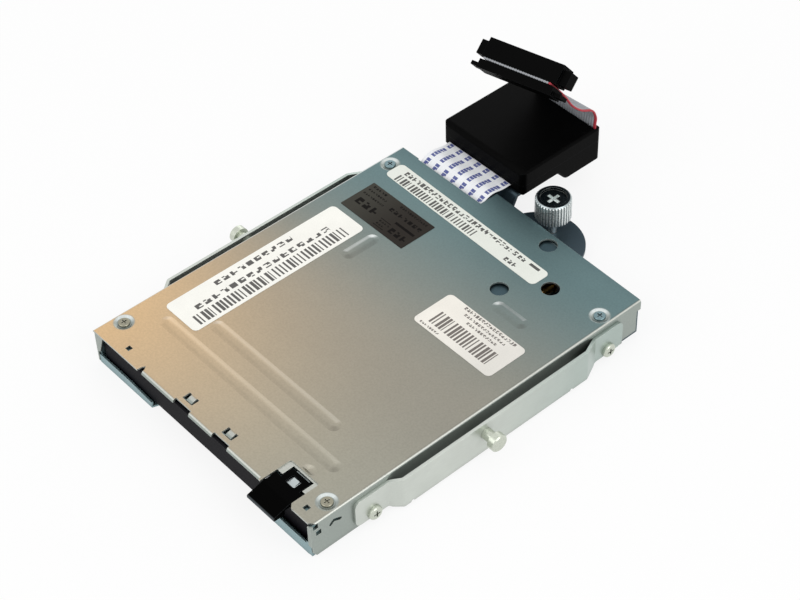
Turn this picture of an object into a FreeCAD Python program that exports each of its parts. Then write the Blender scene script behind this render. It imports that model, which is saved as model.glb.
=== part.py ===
import FreeCAD, Part
import math
import os

# Slim 3.5 inch floppy disk drive in its mounting rails, with its cable adapter.
# Millimetres. +X is right seen from the front, +Y runs to the back, +Z is up.
# Lengths along Y count from the cover's front edge and heights from the drive's underside.
# The last step moves everything along Y, so that the origin is the middle of the underside.

V = FreeCAD.Vector

# Shell
COVER_REAR_LAP = 0.8
COVER_LEFT_STEP = 4.8
COVER_MID_REACH = 1.4
COVER_SHEET = 0.6
COVER_BEND = 0.9
COVER_CORNER_CUT = 1.6
FRAME_SHEET = 0.6
SHELL_GAP = 0.1
SKIRT_BOTTOM = 0.4
CABLE_NOTCH_LEFT = -40.3
CABLE_NOTCH_RIGHT = -12.4
CABLE_NOTCH_STEP = 5.2
REAR_STEP_X = 26.0
REAR_STEP = 0.5

# Front edge of the cover
LIP_SPANS = ((-25.5, -11.2), (-4.4, 5.7), (12.3, 26.4))
LIP_FACE = 0.3
LIP_ROOT = 1.6
LIP_BEND = 1.1
LIP_DROP = 1.15
LANCE_X = (-8.1, 9.0)
LANCE_Y = 4.2
LANCE_WIDTH = 4.2
LANCE_SIDE = 1.0
LANCE_LENGTH = 2.6
LANCE_DROP = 1.1
TAB_HOLES = ((-35.0, 3.2), (42.3, 3.1))
TAB_HOLE_SIDE = 1.6
EDGE_NOTCH = ((-27.0, -1.0), (-27.0, 0.4), (-26.7, 1.9), (-26.3, 2.5), (-25.5, 1.5), (-25.5, -1.0))
CORNER_TAB_GAP = 0.1
CORNER_TAB_SHEET = 0.45
CORNER_TAB_RIGHT_FACE = -0.5
CORNER_TAB_LEFT_FACE = 0.4
CORNER_TAB_RIGHT = ((0.0, 4.4), (1.3, 4.4))
CORNER_TAB_LEFT = ((0.0, 3.9), (1.5, 4.6), (3.8, 11.2))
SKIRT_WINDOWS = ((1.2, 1.3), (2.1, 4.0))
SKIRT_WINDOW_HALF = 0.85
SKIRT_ARC = ((6.1, 4.2), (7.2, 3.3), (9.3, 4.2))
SKIRT_ARC_HALF = 0.5
SKIRT_CORNER_CUT = (1.0, 1.4)
SKIRT_STEP = 1.5
SKIRT_STEP_DROP = 3.4
SKIRT_RISE = 1.7
SKIRT_RISE_LENGTH = 7.0

# Ribs and holes of the cover
RIB_WIDTH = 3.4
RIB_RISE = 0.4
RIB_REACH = 2.7
RIB_SINK = 0.04
RIB_STEPS = 8
RIB_GROOVE_HALF = 1.1
RIB_GROOVE_RISE = 0.25
BUMP_X = 33.0
BUMP_Y = 11.0
BUMP_REACH = 2.9
BUMP_RISE = 0.55
LONG_RIBS = ((-37.8, 38.0, 17.2), (-26.8, 27.1, 26.5))
SHORT_RIB = (21.1, 33.3, 89.2)
SIDE_RIB = (-22.6, 70.9, 83.0)
PEEP_HOLES = ((17.5, 94.3), (27.3, 104.9), (14.1, 117.0))
PEEP_RADIUS = 2.75

# Cover screws
COVER_SCREW_INSET = 3.7
COVER_SCREW_FRONT = 8.2
COVER_SCREW_REAR_INSET = 12.8
DISH_RADIUS = 3.0
DISH_FLOOR_RADIUS = 2.1
DISH_DEPTH = 0.4
SCREW_HEAD_RADIUS = 1.75
SCREW_HEAD_HEIGHT = 0.6
SCREW_RADIUS = 0.95
SCREW_HOLE_PLAY = 0.05
COVER_HOLE_PLAY = 0.35
SCREW_LENGTH = 1.25
FRAME_TAB_LENGTH = 6.6
FRAME_TAB_WIDTH = 5.2
FRAME_SILL = (2.5, 5.0)
FRAME_SILL_LEFT = -33.6
FRAME_SILL_RIGHT = 40.9

# Front door
DOOR_SIDE = 0.2
DOOR_SHEET = 0.6
DOOR_BOTTOM = 2.2
DOOR_AXIS_Z = 10.5
DOOR_AXIS_Y = 1.75
DOOR_BARREL = 0.65
DOOR_PIN = 0.45
PIN_PLAY = 0.05
DOOR_PIN_LENGTH = 1.9
FLOOR_LIP_LEFT_END = -23.0
FLOOR_LIP_RIGHT_START = 27.0
FLOOR_LIP_LEFT_TOP = 3.0
FLOOR_LIP_LOW = 2.1
FLOOR_LIP_BREAK = -33.5
FLOOR_LIP_RIGHT_TOP = 3.8
FLOOR_LIP_CORNER_CUT = 1.2
FLOOR_LIP_LEFT_FACE = 0.5
FLOOR_LIP_RIGHT_FACE = -0.1
FLOOR_LIP_SHEET = 0.6
FLOOR_CLIP = (45.3, 46.4)
FLOOR_CLIP_TOP = 4.6
THUMB_RECESS = 9.0
PEEP_SHELF_LEFT = 9.0
PEEP_SHELF_RIGHT = 21.0
PEEP_SHELF_GAP = 1.2
PEEP_SHELF_LIFT = 0.12

# Eject button
BUTTON_LEFT = 27.3
BUTTON_RIGHT = 38.3
BUTTON_FRONT = -4.8
BUTTON_PLATE_END = 5.2
BUTTON_TONGUE_LEFT = 29.3
BUTTON_TONGUE_RIGHT = 36.9
BUTTON_TONGUE_END = 9.1
BUTTON_TOP = 12.35
BUTTON_UNDER = 11.25
BUTTON_NOSE_TOP = 10.9
BUTTON_NOSE_BOTTOM = 9.7
BUTTON_WINDOW = (3.5, 2.8)
BUTTON_WINDOW_Y = 6.3
BUTTON_SLOT_PLAY = 0.25
BUTTON_SLOT_END = 10.4
BUTTON_SLOT_CORNER = 1.2
BUTTON_POCKET_DEPTH = 0.3

# Slider that the button pushes
SLIDER_SHEET = 0.45
SLIDER_COVER_GAP = 0.35
SLIDER_ARM_SHEET = 0.5
SLIDER_ARM_GAP = 0.175
SLIDER_FRONT = 18.0
SLIDER_BAR = 8.2
SLIDER_REAR = 84.0
SLIDER_STRIP = 3.4
SLIDER_TONGUE_FRONT = -0.2
SLIDER_TONGUE_HALF = 2.6
SLIDER_TRAVEL = 4.8
SPRING_RADIUS = 1.0
SPRING_WIRE = 0.35
SPRING_TURNS = 25
SPRING_FRONT = 38.0
SPRING_Z = 1.9
SPRING_SIDE_GAP = 0.25
SPRING_PEG_PLAY = 0.05
SLIDER_OVERTRAVEL = 0.4
LIFT_PER_TRAVEL = 0.5
BARB_HALF = 1.1

# Disk and its holder
DISK_WIDTH = 90.0
DISK_ROOM = 4.2
DISK_END_Y = 91.0
HOLDER_SIDE_PLAY = 0.35
HOLDER_SHEET = 0.5
HOLDER_UNDER = 5.8
HOLDER_FRONT = 12.6
HOLDER_REAR = 90.0
HOLDER_FLANGE = 7.0
HOLDER_COVER_GAP = 1.1
HOLDER_PIN_Y = (28.0, 75.0)
HOLDER_PIN_RADIUS = 0.8
HOLDER_PIN_Z_DROP = 2.4
SLIDE_PLAY = 0.1
ARM_WINDOW_HALF = 9.0
ARM_WINDOW_FRONT = 60.0

# Lever that opens the disk's shutter
LEVER_X = 37.0
LEVER_Y = 70.5
LEVER_REACH = 22.0
LEVER_REST_DEG = 215.0
LEVER_SHEET = 0.5
LEVER_GAP = 0.1
LEVER_PIN_RADIUS = 0.8
LEVER_PIN_LENGTH = 3.2
LEVER_SLOT_PLAY = 0.7
LEVER_DISK_GAP = 0.1
LEVER_SLOT_MARGIN_DEG = 6.0
LEVER_POST_RADIUS = 1.2
LEVER_HUB_RADIUS = 2.6

# Spindle
SPINDLE_Y = 44.0
ROTOR_RADIUS = 17.5
ROTOR_PLATE = 0.4
ROTOR_TOP = 3.2
MAGNET_INNER = 9.0
MAGNET_HEIGHT = 0.8
CHUCK_RADIUS = 12.0
CHUCK_PLATE = 0.35
SPINDLE_RADIUS = 1.25
SPINDLE_TIP_RADIUS = 1.95
SPINDLE_TIP = 5.7
DRIVE_PIN_OFFSET = 10.3
DRIVE_PIN_RADIUS = 1.1
DRIVE_PIN_TOP = 5.0
BEARING_RADIUS = 3.4
BEARING_TOP = 2.5
COIL_COUNT = 9
COIL_CIRCLE = 12.6
COIL_OUTER = 3.6
COIL_INNER = 1.4
COIL_HEIGHT = 0.5
BOARD_SHEET = 0.8
MOTOR_BOARD_HALF = 30.0
MOTOR_BOARD_FRONT = 22.0
MOTOR_BOARD_REAR = 61.0

# Head carriage
TRACK_ZERO_RADIUS = 39.5
HEAD_TRAVEL = 14.8
ROD_X = (-10.0, 13.0)
ROD_RADIUS = 0.9
ROD_Z = 2.2
ROD_PLAY = 0.04
ROD_FRONT_GAP = 2.7
ROD_REAR_GAP = 3.1
ROD_BLOCK_LENGTH = 2.6
ROD_BLOCK_HALF = 1.7
CARRIAGE_BOTTOM = 1.0
CARRIAGE_TOP = 3.4
CARRIAGE_SIDE = 1.9
TONGUE_HALF = 6.0
TONGUE_AHEAD = 5.5
CARRIAGE_FRONT_OFFSET = 2.0
CARRIAGE_REAR_OFFSET = 27.8
BORE_OVERRUN = 4.5
ARM_TAPER = 12.0
ARM_HOLE = (8.0, 15.0)
HEAD_HALF = 2.2
LOWER_HEAD_TOP = 5.55
PIVOT_OFFSET = 25.6
PIVOT_Z = 9.0
PIVOT_RADIUS = 0.8
PIVOT_BARREL = 2.1
POST_SHEET = 2.4
ARM_HALF = 7.0
ARM_SIDE_GAP = 0.3
ARM_SHEET = 0.5
ARM_BOTTOM = 10.9
ARM_AHEAD = 4.5
UPPER_HEAD_BOTTOM = 10.5

# Stepper motor and its screw
SCREW_X = 22.0
SCREW_Z = 6.0
LEAD_SCREW_RADIUS = 1.5
LEAD_SCREW_GROOVE = 0.3
LEAD_SCREW_PITCH = 3.75
WING_HALF = 1.3
WING_FRONT_GAP = 0.7
WING_REAR_GAP = 0.4
STEPPER_LENGTH = 7.6
STEPPER_WALL_GAP = 0.2
STEPPER_RADIUS = 4.8
BRACKET_SHEET = 0.8
BRACKET_HALF = 4.4
FOLLOWER_GAP = 0.1
FOLLOWER_HALF = 1.2

# Boards inside
MAIN_BOARD_WALL_GAP = 0.5
MAIN_BOARD_RIGHT = -12.6
MAIN_BOARD_FRONT = 93.6
MAIN_BOARD_REAR_GAP = 1.0
MAIN_BOARD_LIFT = 1.0
SOCKET_FRONT = 103.2
SOCKET_DEPTH = 5.0
SOCKET_HEIGHT = 2.8
CHIP_HEIGHT = 1.2
MAIN_CHIPS = ((-40.0, -30.0, 95.0, 102.0), (-27.0, -20.0, 95.5, 101.5), (-45.0, -42.8, 96.0, 100.0))
MOTOR_CHIPS = ((20.0, 27.0, 30.0, 37.0), (-27.0, -22.0, 50.0, 57.0))
SWITCH_COUNT = 3
SWITCH_SPACING = 3.6
SWITCH_X = 29.0
SWITCH_Y = 82.0
SWITCH_BOARD_EDGE = 2.4
SWITCH_BOARD_FRONT = 5.0
SWITCH_BOARD_REAR = 8.0

# Flat cable to the adapter
FFC_WIDTH = 27.0
FFC_X = -26.3
FFC_THICKNESS = 0.3
FFC_BEND = 2.5
FFC_HEIGHT_AT_NOTCH = 11.2
FFC_CREST_REACH = 4.4
FFC_CREST_Z = 13.1
FFC_PLAY = 0.15

# Adapter box behind the drive
BOX_LEFT = -42.5
BOX_RIGHT = -7.5
BOX_SETBACK = 7.3
BOX_LENGTH = 33.0
BOX_BOTTOM = 10.9
BOX_TOP = 19.7
BOX_LOW_BOTTOM = 6.9
BOX_DEEP_LENGTH = 18.0
BOX_STEP_LENGTH = 3.5
BOX_SEAM = 14.6
BOX_WALL = 1.2
BOX_ROUND = 1.6
BOX_CORNER = 1.8
BOX_CABLE_RISE = 1.55
ADAPTER_BOARD_GAP = 0.3
ADAPTER_FRONT = 6.0
CLAMP_FRONT = 4.4
ADAPTER_LIFT = 1.6
RIBBON_SOCKET_DEPTH = 4.4
RIBBON_SOCKET_HEIGHT = 3.2
ADAPTER_REAR = 2.2
ADAPTER_SHEET = 1.0

# Ribbon and its plug
RIBBON_WIDTH = 26.0
RIBBON_RIGHT = -8.0
RIBBON_THICKNESS = 0.9
RIBBON_WALL_GAP = 0.9
RIBBON_START_Z = 11.5
RIBBON_RISES = ((0.0, 3.5), (1.8, 6.5), (6.2, 8.5), (10.0, 11.7), (12.7, 15.6), (15.2, 18.8))
RIBBON_TWIST_DEG = 7.4
RIBBON_YAW_DEG = 6.2
RIBBON_DRIFT = -2.0
RIBBON_END = 0.3
PLUG_HALF = 14.2
PLUG_EAR_HALF = 17.2
PLUG_LENGTH = 5.6
PLUG_EAR_LENGTH = 3.8
PLUG_BODY = 6.2
PLUG_CAP = 2.8
PLUG_MOUTH = 4.0
PLUG_PINS = 13
PLUG_PITCH = 2.0

# Rails
RAIL_SHEET = 0.9
RAIL_EAR_GAP = 0.0
RAIL_STAND = 3.3
RAIL_BOTTOM = 0.5
RAIL_TOP = 11.2
RAIL_EAR_TOP = 10.7
RAIL_FRONT = 13.6
RAIL_FRONT_JOG = 25.2
RAIL_REAR_JOG = 101.2
RAIL_REAR_JOG_LENGTH = 5.2
RAIL_NICK_RADIUS = 0.55
RAIL_NICK_REACH = 6.0
RAIL_REAR = 112.2
RAIL_JOG_LENGTH = 3.2
RAIL_EAR_ROUND = 2.0
RAIL_NOTCH = 1.1
RAIL_SCREW_Y = (19.8, 106.4)
RAIL_SCREW_Z = 3.4
RAIL_HEAD_RADIUS = 2.2
RAIL_HEAD_HEIGHT = 1.3
RAIL_SCREW_RADIUS = 1.4
RAIL_SCREW_LENGTH = 2.4
GUIDE_PIN_Y = 57.5
GUIDE_PIN_Z = 7.4
GUIDE_PIN_RADIUS = 1.75
GUIDE_PIN_SHANK = 3.2
GUIDE_HEAD_RADIUS = 2.7
GUIDE_HEAD_HEIGHT = 2.3
GUIDE_RIVET_RADIUS = 2.4
GUIDE_RIVET_HEIGHT = 0.8

# Bracket at the back
TAB_SHEET = 1.0
TAB_Z = 2.4
TAB_X = 4.5
TAB_SETBACK = 2.4
TAB_RADIUS = 14.0
TAB_LEFT = -30.0
TAB_FLANGE_TOP = 9.4
TAB_PLATE_LENGTH = 3.4
RISER_RIGHT = -9.4
RISER_LENGTH = 3.8
SHELF_STEP_GAP = 1.3
TAB_SCREW_X = (-8.0, 14.0)
TAB_SCREW_Z = 5.6

# Thumbscrew
THUMB_SIDE = -1.1
THUMB_SETBACK = 6.9
THUMB_RADIUS = 1.5
THUMB_NECK = 1.2
THUMB_HOLE_PLAY = 0.1
THUMB_TIP_Z = 0.1
THUMB_TAB_GAP = 0.2
KNOB_RADIUS = 5.5
KNOB_BOTTOM = 9.2
KNOB_TOP = 17.0
KNOB_CHAMFER = 0.6
KNOB_RECESS = 0.8
KNURL_COUNT = 36
KNURL_DEPTH = 0.3
WASHER_RADIUS = 2.8
WASHER_SHEET = 0.8

# Labels
LABEL_SHEET = 0.1
LABEL_ROUND = 1.6
LABEL_DARK_ROUND = 0.25
LABEL_LEFT = (-41.7, -27.4, 20.4, 82.8)
LABEL_DARK = (-41.0, -13.9, 85.0, 98.2)
LABEL_RIGHT = (9.6, 40.6, 68.3, 83.0)
LABEL_LONG = (-41.9, 23.0, 102.6, 109.5)
LABEL_LONG_TURN = -1.1

# Places that follow from the sizes
HOLDER_IN = DISK_WIDTH / 2 + HOLDER_SIDE_PLAY
HOLDER_OUT = HOLDER_IN + HOLDER_SHEET
ARM_IN = HOLDER_OUT + SLIDER_ARM_GAP
ARM_OUT = ARM_IN + SLIDER_ARM_SHEET
WALL_IN = ARM_OUT + SLIDER_ARM_GAP
WALL_OUT = WALL_IN + FRAME_SHEET
SKIRT_IN = WALL_OUT + SHELL_GAP
HALF = SKIRT_IN + COVER_SHEET
HOLDER_FLOOR = HOLDER_UNDER + HOLDER_SHEET
HOLDER_CEILING = HOLDER_FLOOR + DISK_ROOM
HOLDER_TOP = HOLDER_CEILING + HOLDER_SHEET
COVER_UNDER = HOLDER_TOP + HOLDER_COVER_GAP
DRIVE_HEIGHT = COVER_UNDER + COVER_SHEET
DISH_UNDER = COVER_UNDER - DISH_DEPTH
DOOR_HALF = DISK_WIDTH / 2 + DOOR_SIDE
COVER_SCREW_X = HALF - COVER_SCREW_INSET
HOLDER_DROP = SLIDER_TRAVEL * LIFT_PER_TRAVEL
HOLDER_RISE = SLIDER_OVERTRAVEL * LIFT_PER_TRAVEL
HOLDER_PIN_Z = HOLDER_TOP - HOLDER_PIN_Z_DROP
LEVER_RISE = DISK_END_Y + LEVER_PIN_RADIUS + LEVER_DISK_GAP - LEVER_Y
LEVER_SWING_DEG = LEVER_REST_DEG - 180.0 + math.degrees(math.asin(LEVER_RISE / LEVER_REACH))
SLIDER_TOP = COVER_UNDER - SLIDER_COVER_GAP
SPRING_X = ARM_IN - SPRING_SIDE_GAP - SPRING_RADIUS
BUTTON_X = (BUTTON_TONGUE_LEFT + BUTTON_TONGUE_RIGHT) / 2
HEAD_Y = SPINDLE_Y + TRACK_ZERO_RADIUS
PIVOT_Y = HEAD_Y + PIVOT_OFFSET
ROD_FRONT = HEAD_Y - HEAD_TRAVEL + CARRIAGE_FRONT_OFFSET - ROD_FRONT_GAP - ROD_BLOCK_LENGTH
ROD_REAR = HEAD_Y + CARRIAGE_REAR_OFFSET + ROD_REAR_GAP + ROD_BLOCK_LENGTH
BRACKET_FRONT = PIVOT_Y - HEAD_TRAVEL - WING_HALF - WING_FRONT_GAP - BRACKET_SHEET
STEPPER_FACE = PIVOT_Y + WING_HALF + WING_REAR_GAP + BRACKET_SHEET
STEPPER_TOP = SCREW_Z + STEPPER_RADIUS
REAR_WALL_Y = STEPPER_FACE + STEPPER_LENGTH + STEPPER_WALL_GAP
COVER_DEPTH_RIGHT = REAR_WALL_Y + COVER_REAR_LAP
COVER_DEPTH_LEFT = COVER_DEPTH_RIGHT - COVER_LEFT_STEP
COVER_DEPTH_MID = COVER_DEPTH_RIGHT + COVER_MID_REACH
COVER_SCREW_REAR = COVER_DEPTH_RIGHT - COVER_SCREW_REAR_INSET
CABLE_NOTCH_DEPTH = COVER_DEPTH_RIGHT - CABLE_NOTCH_STEP
CABLE_WALL_Y = CABLE_NOTCH_DEPTH - FRAME_SHEET
TAB_FRONT = REAR_WALL_Y + FRAME_SHEET
TAB_PLATE_REAR = TAB_FRONT + TAB_PLATE_LENGTH
RISER_TOP_Y = TAB_PLATE_REAR + RISER_LENGTH
TAB_Y = COVER_DEPTH_RIGHT + TAB_SETBACK
THUMB_X = TAB_X + THUMB_SIDE
THUMB_Y = TAB_Y + THUMB_SETBACK
BOX_FRONT = COVER_DEPTH_RIGHT + BOX_SETBACK
BOX_REAR = BOX_FRONT + BOX_LENGTH
BOX_STEP_FRONT = BOX_REAR - BOX_DEEP_LENGTH
BOX_STEP_REAR = BOX_STEP_FRONT + BOX_STEP_LENGTH
SHELF_REAR = BOX_STEP_FRONT - SHELF_STEP_GAP
RIBBON_Y = BOX_REAR - BOX_WALL - RIBBON_WALL_GAP
FFC_RIGHT = FFC_X + FFC_WIDTH / 2
FFC_LEFT = FFC_X - FFC_WIDTH / 2
FFC_BOX_Z = BOX_BOTTOM + BOX_CABLE_RISE
MAIN_BOARD_TOP = FRAME_SHEET + MAIN_BOARD_LIFT + BOARD_SHEET
MAIN_BOARD_LEFT = MAIN_BOARD_WALL_GAP - WALL_IN
MAIN_BOARD_REAR = CABLE_WALL_Y - MAIN_BOARD_REAR_GAP
RIBBON_X = RIBBON_RIGHT - RIBBON_WIDTH / 2
Y_SHIFT = -(BOX_REAR + BUTTON_FRONT) / 2


# Basic shapes

def box(x, y, z):
    """Box between the low and high values of each axis."""
    return Part.makeBox(x[1] - x[0], y[1] - y[0], z[1] - z[0], V(x[0], y[0], z[0]))


def cylinder(radius, start, direction, length):
    return Part.makeCylinder(radius, length, V(*start), V(*direction))


def upright(radius, x, y, z0, z1):
    return cylinder(radius, (x, y, z0), (0, 0, 1), z1 - z0)


def fuse(shapes):
    """One solid from touching or overlapping shapes."""
    return shapes[0].multiFuse(shapes[1:]).removeSplitter() if len(shapes) > 1 else shapes[0]


def cut(shape, tools):
    return shape.cut(Part.makeCompound(tools)) if tools else shape


def corner(previous, point, following, radius):
    """Start, middle and end of the arc that rounds one corner of an outline."""
    back = (previous - point).normalize()
    ahead = (following - point).normalize()
    half = back.getAngle(ahead) / 2
    reach = radius / math.tan(half)
    middle = (back + ahead).normalize()
    centre = point + middle * (radius / math.sin(half))
    return point + back * reach, centre - middle * radius, point + ahead * reach


def outline(points, radii):
    """Closed wire through the points, its corners rounded by their radii."""
    count = len(points)
    stations = []
    for i in range(count):
        if radii[i] > 0:
            stations.append(corner(points[i - 1], points[i], points[(i + 1) % count], radii[i]))
        else:
            stations.append((points[i], None, points[i]))
    edges = []
    for i in range(count):
        start, middle, end = stations[i]
        if middle is not None:
            edges.append(Part.Arc(start, middle, end).toShape())
        goal = stations[(i + 1) % count][0]
        if end.distanceToPoint(goal) > 1e-6:
            edges.append(Part.LineSegment(end, goal).toShape())
    return Part.Wire(edges)


def prism(points, place, extrusion, radius=0.0):
    """Extrude a rounded outline. place turns an outline point into space."""
    radii = radius if isinstance(radius, (list, tuple)) else [radius] * len(points)
    wire = outline([place(u, v) for u, v in points], radii)
    return Part.Face(wire).extrude(V(*extrusion))


def prism_z(points, z0, z1, radius=0.0):
    return prism(points, lambda u, v: V(u, v, z0), (0, 0, z1 - z0), radius)


def prism_x(points, x0, x1, radius=0.0):
    return prism(points, lambda u, v: V(x0, u, v), (x1 - x0, 0, 0), radius)


def prism_y(points, y0, y1, radius=0.0):
    return prism(points, lambda u, v: V(u, y0, v), (0, y1 - y0, 0), radius)


def rectangle(left, right, low, high):
    return [(left, low), (right, low), (right, high), (left, high)]


def stadium_z(start, end, half, z0, z1):
    """Slot shape along a line in plan, with round ends."""
    a = V(start[0], start[1], z0)
    b = V(end[0], end[1], z0)
    along = (b - a).normalize() * half
    side = V(-along.y, along.x, 0)
    edges = [
        Part.LineSegment(a + side, b + side).toShape(),
        Part.Arc(b + side, b + along, b - side).toShape(),
        Part.LineSegment(b - side, a - side).toShape(),
        Part.Arc(a - side, a - along, a + side).toShape(),
    ]
    return Part.Face(Part.Wire(edges)).extrude(V(0, 0, z1 - z0))


def stadium_x(start, end, half, x0, x1):
    """Slot shape along a line in side view (y, z), with round ends."""
    flat = stadium_z(start, end, half, 0, x1 - x0)
    flat.rotate(V(0, 0, 0), V(1, 1, 1), 120)
    flat.translate(V(x0, 0, 0))
    return flat


def revolve_z(profile, x, y):
    """Turn a closed (radius, z) profile about an upright axis."""
    wire = Part.makePolygon([V(x + r, y, z) for r, z in profile + profile[:1]])
    return Part.Face(wire).revolve(V(x, y, 0), V(0, 0, 1), 360)


def band(centre_line, bends, thickness):
    """Outline of a strip of even thickness along a bent centre line."""
    line = [V(u, v, 0) for u, v in centre_line]
    sides = []
    for sign in (1, -1):
        points = []
        for i, point in enumerate(line):
            before = (point - line[i - 1]).normalize() if i else None
            after = (line[i + 1] - point).normalize() if i + 1 < len(line) else None
            before = before or after
            after = after or before
            normal = V(-before.y - after.y, before.x + after.x, 0).normalize()
            reach = thickness / 2 / normal.dot(V(-before.y, before.x, 0))
            turn = before.x * after.y - before.y * after.x
            bend = 0.0
            if abs(turn) > 1e-9:
                bend = bends - sign * math.copysign(thickness / 2, turn)
            offset = point + normal * (sign * reach)
            points.append(((offset.x, offset.y), bend))
        sides.append(points)
    loop = sides[0] + sides[1][::-1]
    return [p for p, _ in loop], [r for _, r in loop]


def mirrored(shape):
    return shape.mirror(V(0, 0, 0), V(1, 0, 0))


def export(name, solids):
    """Write one node, moved so that the origin is under the middle of the whole part."""
    shape = Part.makeCompound(solids) if isinstance(solids, list) else solids
    moved = shape.copy()
    moved.translate(V(0, Y_SHIFT, 0))
    moved.exportStep("parts/" + name + ".step")


# Cover

def cover_outline():
    """Plan of the cover's top, with the cable notch at the back."""
    return [
        (-HALF, 0), (HALF, 0),
        (HALF, COVER_DEPTH_RIGHT), (REAR_STEP_X, COVER_DEPTH_RIGHT + REAR_STEP),
        (CABLE_NOTCH_RIGHT + 1.5, COVER_DEPTH_MID), (CABLE_NOTCH_RIGHT, COVER_DEPTH_MID),
        (CABLE_NOTCH_RIGHT, CABLE_NOTCH_DEPTH), (CABLE_NOTCH_LEFT, CABLE_NOTCH_DEPTH),
        (CABLE_NOTCH_LEFT, COVER_DEPTH_LEFT), (-HALF, COVER_DEPTH_LEFT),
    ]


def cover_section(inset):
    """Section of the folded sheet's outside, or its inside at a sheet's inset."""
    side = HALF - inset
    top = DRIVE_HEIGHT - inset
    bend = max(COVER_BEND - inset, 0.1)
    return [(-side, SKIRT_BOTTOM), (side, SKIRT_BOTTOM), (side, top), (-side, top)], [0, 0, bend, bend]


def swelling(reach, rise):
    """Half section of a pressed form (radius, z): from its crest down into the sheet."""
    section = []
    for i in range(RIB_STEPS + 1):
        fall = (1 + math.cos(math.pi * i / RIB_STEPS)) / 2
        section.append((reach * i / RIB_STEPS, (rise + RIB_SINK) * fall - RIB_SINK))
    return section


def pressed_face(section, mirror):
    """Upright face of a half section, or of the whole one, on its foot in the sheet."""
    line = section
    if mirror:
        line = [(-r, z) for r, z in section[:0:-1]] + section
    curve = Part.BSplineCurve()
    curve.interpolate([V(r, 0, z) for r, z in line])
    foot = -2 * RIB_SINK
    ends = [V(line[-1][0], 0, line[-1][1]), V(line[-1][0], 0, foot), V(line[0][0], 0, foot),
            V(line[0][0], 0, line[0][1])]
    edges = [curve.toShape()] + [Part.LineSegment(u, v).toShape() for u, v in zip(ends, ends[1:])]
    return Part.Face(Part.Wire(edges))


def raised_rib(start, end):
    """The rib's soft solid above the sheet and the groove under it."""
    a = V(start[0], start[1], DRIVE_HEIGHT)
    b = V(end[0], end[1], DRIVE_HEIGHT)
    section = swelling(RIB_REACH, RIB_RISE)
    length = (b - a).Length
    up = V(0, 0, 1)
    near = pressed_face(section, False).revolve(V(0, 0, 0), up, -180)
    far = pressed_face(section, False).revolve(V(0, 0, 0), up, 180)
    far.translate(V(0, length, 0))
    rib = fuse([pressed_face(section, True).extrude(V(0, length, 0)), near, far])
    rib.rotate(V(0, 0, 0), up, math.degrees(math.atan2(b.y - a.y, b.x - a.x)) - 90)
    rib.translate(a)
    groove = stadium_z(start, end, RIB_GROOVE_HALF, COVER_UNDER, COVER_UNDER + RIB_GROOVE_RISE)
    return rib, groove


def thumb_bump():
    """Half-round swelling behind the eject button."""
    bump = pressed_face(swelling(BUMP_REACH, BUMP_RISE), False).revolve(V(0, 0, 0), V(0, 0, 1), 180)
    bump.translate(V(BUMP_X, BUMP_Y, DRIVE_HEIGHT))
    return bump


def button_opening():
    """Cut-out that follows the button, and the shallow pocket around its tongue."""
    play = BUTTON_SLOT_PLAY
    travel = SLIDER_OVERTRAVEL + play
    z = (COVER_UNDER - 1, DRIVE_HEIGHT + 1)
    left = BUTTON_LEFT - play
    right = BUTTON_RIGHT + play
    plate = box((left, right), (-1, BUTTON_PLATE_END + travel), z)
    tongue = box((BUTTON_TONGUE_LEFT - play, BUTTON_TONGUE_RIGHT + play), (0, BUTTON_TONGUE_END + travel), z)
    pocket = prism_z(rectangle(left, right, 0, BUTTON_SLOT_END),
                     DRIVE_HEIGHT - BUTTON_POCKET_DEPTH, DRIVE_HEIGHT + 1, [0, 0, 0.8, 0.8])
    corner = [(right - 0.1, -1), (right + BUTTON_SLOT_CORNER, -1), (right + BUTTON_SLOT_CORNER, 0),
              (right, BUTTON_SLOT_CORNER), (right - 0.1, BUTTON_SLOT_CORNER)]
    return [plate, tongue, pocket, prism_z(corner, z[0], z[1])]


def corner_tabs():
    """Tabs folded in from the fronts of both skirts."""
    tabs = []
    for sign, points, face_y in ((1, CORNER_TAB_RIGHT, CORNER_TAB_RIGHT_FACE),
                                 (-1, CORNER_TAB_LEFT, CORNER_TAB_LEFT_FACE)):
        top = COVER_UNDER - CORNER_TAB_GAP
        low = points[0][1]
        outline_points = points + ((points[-1][0], top), (0.0, top))
        face = [(sign * (HALF - inset), z) for inset, z in outline_points]
        tabs.append(prism_y(face, face_y, face_y + CORNER_TAB_SHEET))
        skirt = sorted((sign * SKIRT_IN, sign * HALF))
        tabs.append(box(skirt, (face_y, face_y + 2 * CORNER_TAB_SHEET), (low, top)))
    return tabs


def cover_ribs():
    half = RIB_WIDTH / 2
    lines = [((x0 + half, y), (x1 - half, y)) for x0, x1, y in LONG_RIBS + (SHORT_RIB,)]
    lines.append(((SIDE_RIB[0], SIDE_RIB[1] + half), (SIDE_RIB[0], SIDE_RIB[2] - half)))
    return [raised_rib(start, end) for start, end in lines]


def screw_places():
    return [(side * COVER_SCREW_X, y) for side in (-1, 1) for y in (COVER_SCREW_FRONT, COVER_SCREW_REAR)]


def screw_dish(x, y):
    """The pressed dish around a cover screw: what it adds and what it removes."""
    wall = COVER_SHEET * 0.6
    floor = DRIVE_HEIGHT - DISH_DEPTH
    hole = SCREW_RADIUS + COVER_HOLE_PLAY
    added = revolve_z([(hole, DISH_UNDER), (DISH_FLOOR_RADIUS + wall, DISH_UNDER),
                       (DISH_RADIUS + wall, COVER_UNDER + 0.05), (hole, COVER_UNDER + 0.05)], x, y)
    bowl = revolve_z([(0, floor), (DISH_FLOOR_RADIUS, floor), (DISH_RADIUS, DRIVE_HEIGHT + 0.01),
                      (0, DRIVE_HEIGHT + 0.01)], x, y)
    return added, fuse([bowl, upright(hole, x, y, DISH_UNDER - 1, DRIVE_HEIGHT)])


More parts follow.
